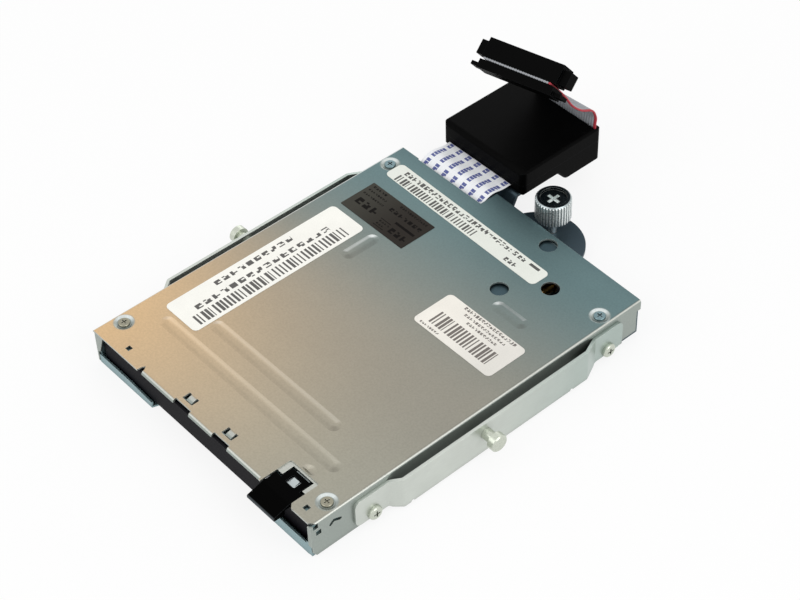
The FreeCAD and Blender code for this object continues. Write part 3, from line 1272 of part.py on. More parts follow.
def screw_bracket():
    """Sheet bracket on the floor with the screw's front bearing and the motor's seat."""
    rear = STEPPER_FACE
    span = (SCREW_X - BRACKET_HALF, SCREW_X + BRACKET_HALF)
    top = SCREW_Z + 2.6
    parts = [
        box(span, (BRACKET_FRONT, rear), (FRAME_SHEET, 2 * FRAME_SHEET)),
        box(span, (BRACKET_FRONT, BRACKET_FRONT + BRACKET_SHEET), (FRAME_SHEET, top)),
        box(span, (rear - BRACKET_SHEET, rear), (FRAME_SHEET, SCREW_Z + STEPPER_RADIUS)),
    ]
    hole = cylinder(LEAD_SCREW_RADIUS * 0.6 + PIN_PLAY, (SCREW_X, BRACKET_FRONT - 1, SCREW_Z), (0, 1, 0), 3)
    boss = cylinder(2.2, (SCREW_X, rear - BRACKET_SHEET - 1, SCREW_Z), (0, 1, 0), BRACKET_SHEET + 2)
    return cut(fuse(parts), [hole, boss])


def lead_screw():
    """Screw with a round-bottomed thread, drawn as a helix cut."""
    y0 = BRACKET_FRONT + BRACKET_SHEET + 0.1
    y1 = STEPPER_FACE - BRACKET_SHEET - 0.2
    body = cylinder(LEAD_SCREW_RADIUS, (SCREW_X, y0, SCREW_Z), (0, 1, 0), y1 - y0)
    front = cylinder(LEAD_SCREW_RADIUS * 0.6, (SCREW_X, BRACKET_FRONT - 0.2, SCREW_Z), (0, 1, 0),
                     y0 - BRACKET_FRONT + 0.4)
    rear = cylinder(LEAD_SCREW_RADIUS * 0.6, (SCREW_X, y1 - 0.1, SCREW_Z), (0, 1, 0), 3.0)
    grooves = []
    count = int((y1 - y0) / LEAD_SCREW_PITCH)
    for i in range(count):
        y = y0 + LEAD_SCREW_PITCH * (i + 0.7)
        grooves.append(Part.makeTorus(LEAD_SCREW_RADIUS + 0.1, LEAD_SCREW_GROOVE + 0.1,
                                      V(SCREW_X, y, SCREW_Z), V(0, 1, 0)))
    return fuse([cut(body, grooves), front, rear])


def stepper_motor():
    can = cylinder(STEPPER_RADIUS, (SCREW_X, STEPPER_FACE, SCREW_Z), (0, 1, 0), STEPPER_LENGTH)
    boss = cylinder(2.1, (SCREW_X, STEPPER_FACE - BRACKET_SHEET, SCREW_Z), (0, 1, 0), BRACKET_SHEET + 0.1)
    block = box((SCREW_X - 3.6, SCREW_X + 3.6), (STEPPER_FACE + 1, STEPPER_FACE + STEPPER_LENGTH - 1),
                (FRAME_SHEET, SCREW_Z))
    bore = cylinder(LEAD_SCREW_RADIUS * 0.6 + PIN_PLAY, (SCREW_X, STEPPER_FACE - 2, SCREW_Z), (0, 1, 0), 4.5)
    return fuse([can, boss, block]).cut(bore)


# Boards

def main_board():
    plan = rectangle(MAIN_BOARD_LEFT, MAIN_BOARD_RIGHT, MAIN_BOARD_FRONT, MAIN_BOARD_REAR)
    return prism_z(plan, MAIN_BOARD_TOP - BOARD_SHEET, MAIN_BOARD_TOP, 1.0)


def board_chips():
    """Packages on the main board and on the motor board."""
    chips = []
    for places, seat in ((MAIN_CHIPS, MAIN_BOARD_TOP), (MOTOR_CHIPS, FRAME_SHEET + BOARD_SHEET)):
        for left, right, front, rear in places:
            chips.append(box((left, right), (front, rear), (seat, seat + CHIP_HEIGHT)))
    return chips


def ffc_socket():
    """Socket for the flat cable, open towards the back."""
    side = 1.2
    rear = SOCKET_FRONT + SOCKET_DEPTH
    body = box((FFC_LEFT - side, FFC_RIGHT - 0.2 + side * 0.2), (SOCKET_FRONT, rear),
               (MAIN_BOARD_TOP, MAIN_BOARD_TOP + SOCKET_HEIGHT))
    z = MAIN_BOARD_TOP + SOCKET_HEIGHT / 2
    half = FFC_THICKNESS / 2 + FFC_PLAY
    slot = box((FFC_LEFT - FFC_PLAY, FFC_RIGHT + 1), (SOCKET_FRONT + 1.2, rear + 1), (z - half, z + half))
    return body.cut(slot)


def switch_board():
    x1 = SWITCH_X + (SWITCH_COUNT - 1) * SWITCH_SPACING + SWITCH_BOARD_EDGE
    y = (SWITCH_Y - SWITCH_BOARD_FRONT, SWITCH_Y + SWITCH_BOARD_REAR)
    return box((SWITCH_X - SWITCH_BOARD_EDGE, x1), y, (FRAME_SHEET, FRAME_SHEET + BOARD_SHEET))


def disk_switches():
    """Feelers under the disk for its presence, write tab and density hole."""
    base = FRAME_SHEET + BOARD_SHEET
    switches = []
    for i in range(SWITCH_COUNT):
        x = SWITCH_X + i * SWITCH_SPACING
        y = SWITCH_Y + 2 * (i % 2)
        body = box((x - 1.4, x + 1.4), (y - 2, y + 3), (base, base + 1.8))
        switches.append(fuse([body, upright(0.6, x, y, base + 1, HOLDER_FLOOR - HOLDER_DROP + 0.8)]))
    return switches


# Cables and adapter

def ffc_route():
    """Centre line of the flat cable in side view, from the socket to the adapter."""
    z = MAIN_BOARD_TOP + SOCKET_HEIGHT / 2
    return [
        (SOCKET_FRONT + 1.4, z), (SOCKET_FRONT + SOCKET_DEPTH + 2.0, z),
        (CABLE_WALL_Y, FFC_HEIGHT_AT_NOTCH - 1.0), (CABLE_NOTCH_DEPTH + FFC_CREST_REACH, FFC_CREST_Z),
        (BOX_FRONT - 2.6, FFC_BOX_Z), (BOX_FRONT + 4.0, FFC_BOX_Z),
    ]


def ffc_cable():
    points, bends = band(ffc_route(), FFC_BEND, FFC_THICKNESS)
    return prism_x(points, FFC_LEFT, FFC_RIGHT, bends)


def box_section():
    """Side view of the adapter box, deeper at the back."""
    return [(BOX_FRONT, BOX_BOTTOM), (BOX_STEP_FRONT, BOX_BOTTOM), (BOX_STEP_REAR, BOX_LOW_BOTTOM),
            (BOX_REAR, BOX_LOW_BOTTOM), (BOX_REAR, BOX_TOP), (BOX_FRONT, BOX_TOP)]


def box_shell():
    outer = prism_x(box_section(), BOX_LEFT, BOX_RIGHT, [1, 2, 2, BOX_ROUND, BOX_ROUND, BOX_ROUND])
    long_edges = [e for e in outer.Edges if e.BoundBox.XLength < 1e-4 and e.BoundBox.ZMin > BOX_TOP - 1e-4]
    outer = outer.makeFillet(BOX_ROUND * 0.6, long_edges)
    plan = rectangle(BOX_LEFT, BOX_RIGHT, BOX_FRONT, BOX_REAR)
    outer = outer.common(prism_z(plan, BOX_LOW_BOTTOM - 1, BOX_TOP + 1, BOX_CORNER))
    w = BOX_WALL
    hollow = [(BOX_FRONT + w, BOX_BOTTOM + w), (BOX_STEP_FRONT + w, BOX_BOTTOM + w),
              (BOX_STEP_REAR + w, BOX_LOW_BOTTOM + w), (BOX_REAR - w, BOX_LOW_BOTTOM + w),
              (BOX_REAR - w, BOX_TOP - w), (BOX_FRONT + w, BOX_TOP - w)]
    shell = outer.cut(prism_x(hollow, BOX_LEFT + w, BOX_RIGHT - w))
    half = FFC_THICKNESS / 2 + FFC_PLAY
    cable = box((FFC_LEFT - FFC_PLAY, FFC_RIGHT + FFC_PLAY), (BOX_FRONT - 1, BOX_FRONT + w + 1),
                (FFC_BOX_Z - half, FFC_BOX_Z + half))
    play = RIBBON_THICKNESS / 2 + FFC_PLAY
    ribbon = box((RIBBON_RIGHT - RIBBON_WIDTH - FFC_PLAY, RIBBON_RIGHT + FFC_PLAY),
                 (RIBBON_Y - play, RIBBON_Y + play), (RIBBON_START_Z - FFC_PLAY, BOX_TOP + 1))
    return shell.cut(cable).cut(ribbon)


def seam_block(low, high):
    return box((BOX_LEFT - 1, BOX_RIGHT + 1), (BOX_FRONT - 1, BOX_REAR + 1), (low, high))


def box_lower():
    return box_shell().common(seam_block(BOX_LOW_BOTTOM - 1, BOX_SEAM))


def box_upper():
    return box_shell().common(seam_block(BOX_SEAM, BOX_TOP + 1))


def adapter_board():
    """Board in the box, seated on the lower half's floor."""
    z0 = BOX_BOTTOM + BOX_WALL + ADAPTER_LIFT
    gap = ADAPTER_BOARD_GAP
    x = (BOX_LEFT + BOX_WALL + gap, BOX_RIGHT - BOX_WALL - gap)
    return box(x, (BOX_FRONT + BOX_WALL + ADAPTER_FRONT, RIBBON_Y - ADAPTER_REAR), (z0, z0 + ADAPTER_SHEET))


def adapter_sockets():
    """Cable clamp at the board's front and ribbon socket at its back."""
    z0 = BOX_BOTTOM + BOX_WALL + ADAPTER_LIFT
    reach = (BOX_FRONT + CLAMP_FRONT, BOX_FRONT + BOX_WALL + ADAPTER_FRONT)
    front = box((FFC_LEFT - 1, FFC_RIGHT + 1), reach,
                (BOX_BOTTOM + BOX_WALL, FFC_BOX_Z + 1.6))
    slot = box((FFC_LEFT - 0.05, FFC_RIGHT + 0.05), (BOX_FRONT, BOX_FRONT + CLAMP_FRONT), (0, 2 * BOX_TOP))
    face = RIBBON_Y - RIBBON_THICKNESS / 2
    seat = z0 + ADAPTER_SHEET
    rear = box((RIBBON_RIGHT - RIBBON_WIDTH + 0.3, RIBBON_RIGHT - 2.0), (face - RIBBON_SOCKET_DEPTH, face),
               (seat, seat + RIBBON_SOCKET_HEIGHT))
    return [front.cut(slot), rear]


def ribbon_frames():
    """Places and turns of the ribbon's cross-section along its route."""
    route = [(RIBBON_Y, RIBBON_START_Z), (RIBBON_Y, BOX_TOP + 0.6)]
    route += [(RIBBON_Y - forward, BOX_TOP + rise) for forward, rise in RIBBON_RISES]
    frames = []
    total = len(route) - 1
    for i, (y, z) in enumerate(route):
        ahead = route[min(i + 1, total)]
        behind = route[max(i - 1, 0)] if i > 1 else route[i]
        lean = math.atan2(-(ahead[0] - behind[0]), ahead[1] - behind[1])
        share = max(0.0, (i - 1) / (total - 1))
        frames.append((V(RIBBON_X + RIBBON_DRIFT * share ** 2, y, z), math.degrees(lean), share))
    return frames


def local_placement(place, lean_deg, share):
    """Local Z along the ribbon, local X across it, local Y through its thickness."""
    yaw = FreeCAD.Rotation(V(0, 0, 1), RIBBON_YAW_DEG * share)
    twist = FreeCAD.Rotation(V(0, 1, 0), -RIBBON_TWIST_DEG * share)
    lean = FreeCAD.Rotation(V(1, 0, 0), lean_deg)
    return FreeCAD.Placement(place, yaw.multiply(twist).multiply(lean))


def ribbon_section(placement):
    half = RIBBON_WIDTH / 2
    thick = RIBBON_THICKNESS / 2
    corners = [V(-half, -thick, 0), V(half, -thick, 0), V(half, thick, 0), V(-half, thick, 0)]
    points = [placement.multVec(c) for c in corners]
    return Part.makePolygon(points + points[:1])


def ribbon_cable():
    frames = ribbon_frames()
    sections = [ribbon_section(local_placement(*frame)) for frame in frames]
    end = plug_placement().multiply(FreeCAD.Placement(V(0, 0, PLUG_LENGTH + RIBBON_END), FreeCAD.Rotation()))
    sections.append(ribbon_section(end))
    return Part.makeLoft(sections, True, True)


def plug_placement():
    """Where the plug grips the ribbon's end."""
    return local_placement(*ribbon_frames()[-1])


def plug_ears(y0, y1):
    """Body of the plug with its two stepped ears, in the plug's own frame."""
    block = box((-PLUG_HALF, PLUG_HALF), (y0, y1), (0, PLUG_LENGTH))
    ear_low = (PLUG_LENGTH - PLUG_EAR_LENGTH) / 2
    ears = box((-PLUG_EAR_HALF, PLUG_EAR_HALF), (y0 + 0.4, y1 - 1.2), (ear_low, ear_low + PLUG_EAR_LENGTH))
    return fuse([block, ears])


def idc_body():
    """Socket half of the plug, with its mouth on the far side."""
    gap = RIBBON_THICKNESS / 2
    body = plug_ears(gap, gap + PLUG_BODY)
    wall = 1.0
    mouth = box((-PLUG_HALF + wall, PLUG_HALF - wall), (gap + PLUG_BODY - PLUG_MOUTH, gap + PLUG_BODY + 1),
                (wall, PLUG_LENGTH - wall))
    key = box((-2.2, 2.2), (gap + PLUG_BODY - PLUG_MOUTH, gap + PLUG_BODY + 1), (-1, wall + 0.1))
    body = body.cut(mouth).cut(key)
    body.Placement = plug_placement()
    return body


def idc_cap():
    gap = RIBBON_THICKNESS / 2
    cap = plug_ears(-gap - PLUG_CAP, -gap)
    cap.Placement = plug_placement()
    return cap


def idc_contacts():
    """Two rows of contacts in the plug's mouth."""
    gap = RIBBON_THICKNESS / 2
    base = gap + PLUG_BODY - PLUG_MOUTH
    contacts = []
    for i in range(PLUG_PINS):
        x = (i - (PLUG_PINS - 1) / 2) * PLUG_PITCH
        for row in (-1, 1):
            z = PLUG_LENGTH / 2 + row * PLUG_PITCH / 2
            contact = box((x - 0.35, x + 0.35), (base, base + PLUG_MOUTH - 0.8), (z - 0.35, z + 0.35))
            contact.Placement = plug_placement()
            contacts.append(contact)
    return contacts


# Rails

def rail_plan():
    """Centre line of the right rail in plan: ears on the drive, the middle standing off."""
    ear = HALF + RAIL_EAR_GAP + RAIL_SHEET / 2
    stand = HALF + RAIL_STAND - RAIL_SHEET / 2
    return [
        (ear, RAIL_FRONT), (ear, RAIL_FRONT_JOG), (stand, RAIL_FRONT_JOG + RAIL_JOG_LENGTH),
        (stand, RAIL_REAR_JOG - RAIL_REAR_JOG_LENGTH), (ear, RAIL_REAR_JOG), (ear, RAIL_REAR),
    ]


def rail_elevation():
    """Side view of the rail (y, z), with small notches at the jogs."""
    jog0 = RAIL_FRONT_JOG
    jog1 = RAIL_REAR_JOG
    low = RAIL_BOTTOM + RAIL_NOTCH
    return [
        (RAIL_FRONT, low), (jog0 - 0.6, low), (jog0 + 0.6, RAIL_BOTTOM + 0.4), (jog0 + 3.4, RAIL_BOTTOM),
        (jog1 - RAIL_REAR_JOG_LENGTH, RAIL_BOTTOM), (jog1 - 0.6, RAIL_BOTTOM + 0.4), (jog1 + 0.6, low),
        (RAIL_REAR, low), (RAIL_REAR, RAIL_EAR_TOP), (jog1, RAIL_EAR_TOP),
        (jog1 - RAIL_REAR_JOG_LENGTH, RAIL_TOP),
        (jog0 + 3.4, RAIL_TOP), (jog0, RAIL_EAR_TOP), (RAIL_FRONT, RAIL_EAR_TOP),
    ]


def rail_right():
    points, bends = band(rail_plan(), RAIL_SHEET * 1.2, RAIL_SHEET)
    strip = prism_z(points, RAIL_BOTTOM, RAIL_TOP, bends)
    ear = RAIL_EAR_ROUND
    rounds = [ear, 0, 0, 0, 0, 0, 0, ear, ear, 0, 0, 0, 0, ear]
    side = prism_x(rail_elevation(), HALF - 1, HALF + RAIL_STAND + 1, rounds)
    rail = strip.common(side)
    tools = [cylinder(RAIL_SCREW_RADIUS + SCREW_HOLE_PLAY, (HALF - 1, y, RAIL_SCREW_Z), (1, 0, 0), 4)
             for y in RAIL_SCREW_Y]
    tools.append(cylinder(GUIDE_PIN_RADIUS, (HALF, GUIDE_PIN_Y, GUIDE_PIN_Z), (1, 0, 0), 6))
    for y in (RAIL_FRONT_JOG + RAIL_NICK_REACH, RAIL_REAR_JOG - RAIL_NICK_REACH - RAIL_REAR_JOG_LENGTH):
        tools.append(cylinder(RAIL_NICK_RADIUS, (HALF, y, RAIL_BOTTOM), (1, 0, 0), 6))
    return cut(rail, tools)


def rail_screws():
    seat = HALF + RAIL_EAR_GAP + RAIL_SHEET
    screws = [pan_screw(RAIL_HEAD_RADIUS, RAIL_HEAD_HEIGHT, RAIL_SCREW_RADIUS, RAIL_SCREW_LENGTH,
                        (seat, y, RAIL_SCREW_Z), (1, 0, 0)) for y in RAIL_SCREW_Y]
    return screws + [mirrored(screw) for screw in screws]


def guide_pins():
    """Studs riveted in the rails, which run in the bay's grooves."""
    face = HALF + RAIL_STAND
    centre = (face - RAIL_SHEET, GUIDE_PIN_Y, GUIDE_PIN_Z)
    rivet = cylinder(GUIDE_RIVET_RADIUS, (centre[0] - GUIDE_RIVET_HEIGHT, centre[1], centre[2]), (1, 0, 0),
                     GUIDE_RIVET_HEIGHT)
    shank = cylinder(GUIDE_PIN_RADIUS, centre, (1, 0, 0), RAIL_SHEET + GUIDE_PIN_SHANK + 0.1)
    seat = (face + GUIDE_PIN_SHANK, centre[1], centre[2])
    head = cylinder(GUIDE_HEAD_RADIUS, seat, (1, 0, 0), GUIDE_HEAD_HEIGHT)
    rim = [e for e in head.Edges if e.BoundBox.XMin > face + GUIDE_PIN_SHANK + GUIDE_HEAD_HEIGHT - 1e-4]
    pin = fuse([rivet, shank, head.makeChamfer(0.3, rim)])
    return [pin, mirrored(pin)]


# Bracket and thumbscrew

def rear_bracket():
    """Angle screwed to the back wall: a tab for the thumbscrew and a shelf for the box."""
    z = (TAB_Z, TAB_Z + TAB_SHEET)
    right = TAB_X + TAB_RADIUS
    parts = [
        box((CABLE_NOTCH_RIGHT, right), (TAB_FRONT, TAB_FRONT + TAB_SHEET), (TAB_Z, TAB_FLANGE_TOP)),
        box((TAB_LEFT, right), (TAB_FRONT, TAB_PLATE_REAR), z),
        upright(TAB_RADIUS, TAB_X, TAB_Y, z[0], z[1]).common(
            box((TAB_X - TAB_RADIUS, right), (TAB_PLATE_REAR - 1, TAB_Y + TAB_RADIUS), z)),
    ]
    shelf_z = BOX_BOTTOM - TAB_SHEET / 2
    line = [(TAB_PLATE_REAR - 1.5, TAB_Z + TAB_SHEET / 2), (TAB_PLATE_REAR, TAB_Z + TAB_SHEET / 2),
            (RISER_TOP_Y, shelf_z), (SHELF_REAR, shelf_z)]
    points, bends = band(line, TAB_SHEET * 0.8, TAB_SHEET)
    parts.append(prism_x(points, TAB_LEFT, RISER_RIGHT, bends))
    tools = [upright(THUMB_NECK + THUMB_HOLE_PLAY, THUMB_X, THUMB_Y, 0, TAB_Z + 2 * TAB_SHEET)]
    for x in TAB_SCREW_X:
        tools.append(cylinder(SCREW_RADIUS + SCREW_HOLE_PLAY, (x, TAB_FRONT - 1, TAB_SCREW_Z), (0, 1, 0), 3))
    return cut(fuse(parts), tools)


def bracket_screws():
    seat = TAB_FRONT + TAB_SHEET
    return [pan_screw(SCREW_HEAD_RADIUS, SCREW_HEAD_HEIGHT, SCREW_RADIUS, TAB_SHEET + FRAME_SHEET + 0.4,
                      (x, seat, TAB_SCREW_Z), (0, 1, 0)) for x in TAB_SCREW_X]


def knob_profile():
    """Half section of the knob: chamfered rim and a shallow recess in its top."""
    edge = KNOB_RADIUS - KNOB_CHAMFER
    dish = edge - 0.9
    return [(0, KNOB_BOTTOM), (edge, KNOB_BOTTOM), (KNOB_RADIUS, KNOB_BOTTOM + KNOB_CHAMFER),
            (KNOB_RADIUS, KNOB_TOP - KNOB_CHAMFER), (edge, KNOB_TOP), (dish, KNOB_TOP),
            (dish, KNOB_TOP - KNOB_RECESS), (0, KNOB_TOP - KNOB_RECESS)]


def thumbscrew():
    """Captive screw: its thread can't pass back through the tab, and its neck is free in it."""
    knob = revolve_z(knob_profile(), THUMB_X, THUMB_Y)
    grooves = []
    for i in range(KNURL_COUNT):
        angle = 2 * math.pi * i / KNURL_COUNT
        x = THUMB_X + KNOB_RADIUS * math.cos(angle)
        y = THUMB_Y + KNOB_RADIUS * math.sin(angle)
        grooves.append(upright(KNURL_DEPTH, x, y, KNOB_BOTTOM - 1, KNOB_TOP + 1))
    recess = cross_recess(2.2, 4, 1.1, (THUMB_X, THUMB_Y, KNOB_TOP - KNOB_RECESS - 1.4), (0, 0, 1))
    knob = cut(knob, grooves + [recess])
    thread = upright(THUMB_RADIUS, THUMB_X, THUMB_Y, THUMB_TIP_Z, TAB_Z - THUMB_TAB_GAP)
    tip = [e for e in thread.Edges if e.BoundBox.ZMax < THUMB_TIP_Z + 1e-4]
    neck = upright(THUMB_NECK, THUMB_X, THUMB_Y, TAB_Z - THUMB_TAB_GAP - 0.1, KNOB_BOTTOM + 0.1)
    return fuse([knob, neck, thread.makeChamfer(THUMB_RADIUS * 0.2, tip)])


def thumb_washer():
    """Lock washer held under the knob."""
    top = KNOB_BOTTOM
    ring = upright(WASHER_RADIUS, THUMB_X, THUMB_Y, top - WASHER_SHEET, top)
    return ring.cut(upright(THUMB_NECK + PIN_PLAY, THUMB_X, THUMB_Y, 0, top + 1))


# Labels

def label(area, turn_deg=0.0, corner=LABEL_ROUND):
    plate = prism_z(rectangle(*area), DRIVE_HEIGHT, DRIVE_HEIGHT + LABEL_SHEET, corner)
    plate.rotate(V((area[0] + area[1]) / 2, (area[2] + area[3]) / 2, 0), V(0, 0, 1), turn_deg)
    return plate


def main():
    os.makedirs("parts", exist_ok=True)
    right_rail = rail_right()
    nodes = {
        "top_cover": top_cover(),
        "cover_screws": cover_screws(),
        "base_frame": base_frame(),
        "front_door": front_door(),
        "eject_button": eject_button(),
        "eject_slider": eject_slider(),
        "eject_springs": eject_springs(),
        "disk_holder": disk_holder(),
        "holder_pins": holder_pins(),
        "lever_post": lever_post(),
        "trigger_lever": trigger_lever(),
        "lever_pin": lever_pin(),
        "spindle_bearing": spindle_bearing(),
        "spindle_hub": spindle_hub(),
        "spindle_rotor": spindle_rotor(),
        "rotor_magnet": rotor_magnet(),
        "drive_pin": drive_pin(),
        "stator_coils": stator_coils(),
        "motor_board": motor_board(),
        "guide_rods": guide_rods(),
        "rod_blocks": rod_blocks(),
        "head_carriage": head_carriage(),
        "screw_follower": screw_follower(),
        "lower_head": lower_head(),
        "arm_pivot": arm_pivot(),
        "upper_arm": upper_arm(),
        "upper_head": upper_head(),
        "screw_bracket": screw_bracket(),
        "lead_screw": lead_screw(),
        "stepper_motor": stepper_motor(),
        "main_board": main_board(),
        "board_chips": board_chips(),
        "ffc_socket": ffc_socket(),
        "switch_board": switch_board(),
        "disk_switches": disk_switches(),
        "ffc_cable": ffc_cable(),
        "box_lower": box_lower(),
        "box_upper": box_upper(),
        "adapter_board": adapter_board(),
        "adapter_sockets": adapter_sockets(),
        "ribbon_cable": ribbon_cable(),
        "idc_body": idc_body(),
        "idc_cap": idc_cap(),
        "idc_contacts": idc_contacts(),
        "rail_right": right_rail,
        "rail_left": mirrored(right_rail),
        "rail_screws": rail_screws(),
        "guide_pins": guide_pins(),
        "rear_bracket": rear_bracket(),
        "bracket_screws": bracket_screws(),
        "thumbscrew": thumbscrew(),
        "thumb_washer": thumb_washer(),
        "label_left": label(LABEL_LEFT),
        "label_dark": label(LABEL_DARK, corner=LABEL_DARK_ROUND),
        "label_right": label(LABEL_RIGHT),
        "label_long": label(LABEL_LONG, LABEL_LONG_TURN),
    }
    for name, shape in nodes.items():
        export(name, shape)
    print(len(nodes), "nodes, moved along Y by", Y_SHIFT, "and the lever swings", round(LEVER_SWING_DEG, 2))


main()
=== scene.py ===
import logging
import math
from dataclasses import dataclass
from enum import Enum

import bpy
from bpy.types import Material, Mesh, Node, NodeSocket, NodeTree, Object, Scene
from mathutils import Matrix, Vector


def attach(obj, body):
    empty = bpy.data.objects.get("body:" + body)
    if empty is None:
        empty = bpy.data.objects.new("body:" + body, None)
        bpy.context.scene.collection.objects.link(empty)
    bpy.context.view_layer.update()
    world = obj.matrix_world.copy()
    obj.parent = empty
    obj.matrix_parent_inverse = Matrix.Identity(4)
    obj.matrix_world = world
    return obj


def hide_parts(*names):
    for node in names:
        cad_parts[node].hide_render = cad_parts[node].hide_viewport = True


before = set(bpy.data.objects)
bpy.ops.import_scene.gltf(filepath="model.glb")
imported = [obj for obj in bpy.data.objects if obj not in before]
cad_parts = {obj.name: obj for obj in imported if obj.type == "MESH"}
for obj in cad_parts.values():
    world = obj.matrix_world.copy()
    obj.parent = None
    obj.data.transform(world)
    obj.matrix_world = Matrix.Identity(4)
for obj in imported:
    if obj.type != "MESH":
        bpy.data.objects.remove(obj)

# Slim 3.5 inch floppy disk drive on its rails, with its adapter box and ribbon.
# Sizes are in millimetres and lengths along Y count from the cover's front edge, until row() turns them.
# The floor and the lamps are placed in metres.

LOG = logging.getLogger("floppy_drive")
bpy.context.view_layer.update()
MM = 0.001
FRONT_EDGE = -77.85
# The stretch of its range that a noise mostly fills
NOISE_SPAN = (0.3, 0.7)
# From none to full: cosines of how far an edge turns for its wear and painted highlight, and how open the sky
# is over a crevice in painted shade
EDGE_SPAN = (1.0, 0.85)
CREVICE_SPAN = (0.6, 0.15)
# Rays that feel for an edge or a crevice
FEELERS = 4
# Facets round a conductor, a turn of a spring, its eye and its wire
CONDUCTOR_SIDES = 12
COIL_STEPS = 20
EYE_STEPS = 24
WIRE_SIDES = 8


def row(x: float, y: float, z: float) -> Vector:
    """A place in millimetres from the cover's front edge, in the row frame's metres."""
    return Vector((x, y + FRONT_EDGE, z)) * MM


def linear(code: str) -> tuple[float, float, float, float]:
    """Turns an sRGB hex colour to linear RGBA.

    Args:
        code: Six hex digits after a hash.

    Returns:
        Linear red, green and blue, and an alpha of 1.
    """
    channels = [int(code[i:i + 2], 16) / 255 for i in (1, 3, 5)]
    return (*[c / 12.92 if c <= 0.04045 else ((c + 0.055) / 1.055) ** 2.4 for c in channels], 1.0)


def add(tree: NodeTree, kind: str, sockets: dict[int | str, object] | None = None,
        **settings: object) -> Node:
    """Adds a node with its settings and links.

    By index, Map Range turns the range from 1 to 2 into the range from 3 to 4, and a colour Mix goes from
    6 to 7 as 0 rises.

    Args:
        tree: The tree that gets the node.
        kind: The node's type name, such as ShaderNodeMath.
        sockets: Input name or index to a value, a socket, or a node whose first enabled output is linked.
        **settings: Properties of the node, such as operation.

    Returns:
        The new node.
    """
    node = tree.nodes.new(kind)
    for name, value in settings.items():
        setattr(node, name, value)
    for key, value in (sockets or {}).items():
        if isinstance(value, Node):
            value = next(socket for socket in value.outputs if socket.enabled)
        if isinstance(value, NodeSocket):
            tree.links.new(value, node.inputs[key])
        else:
            node.inputs[key].default_value = value
    return node


# Finishes

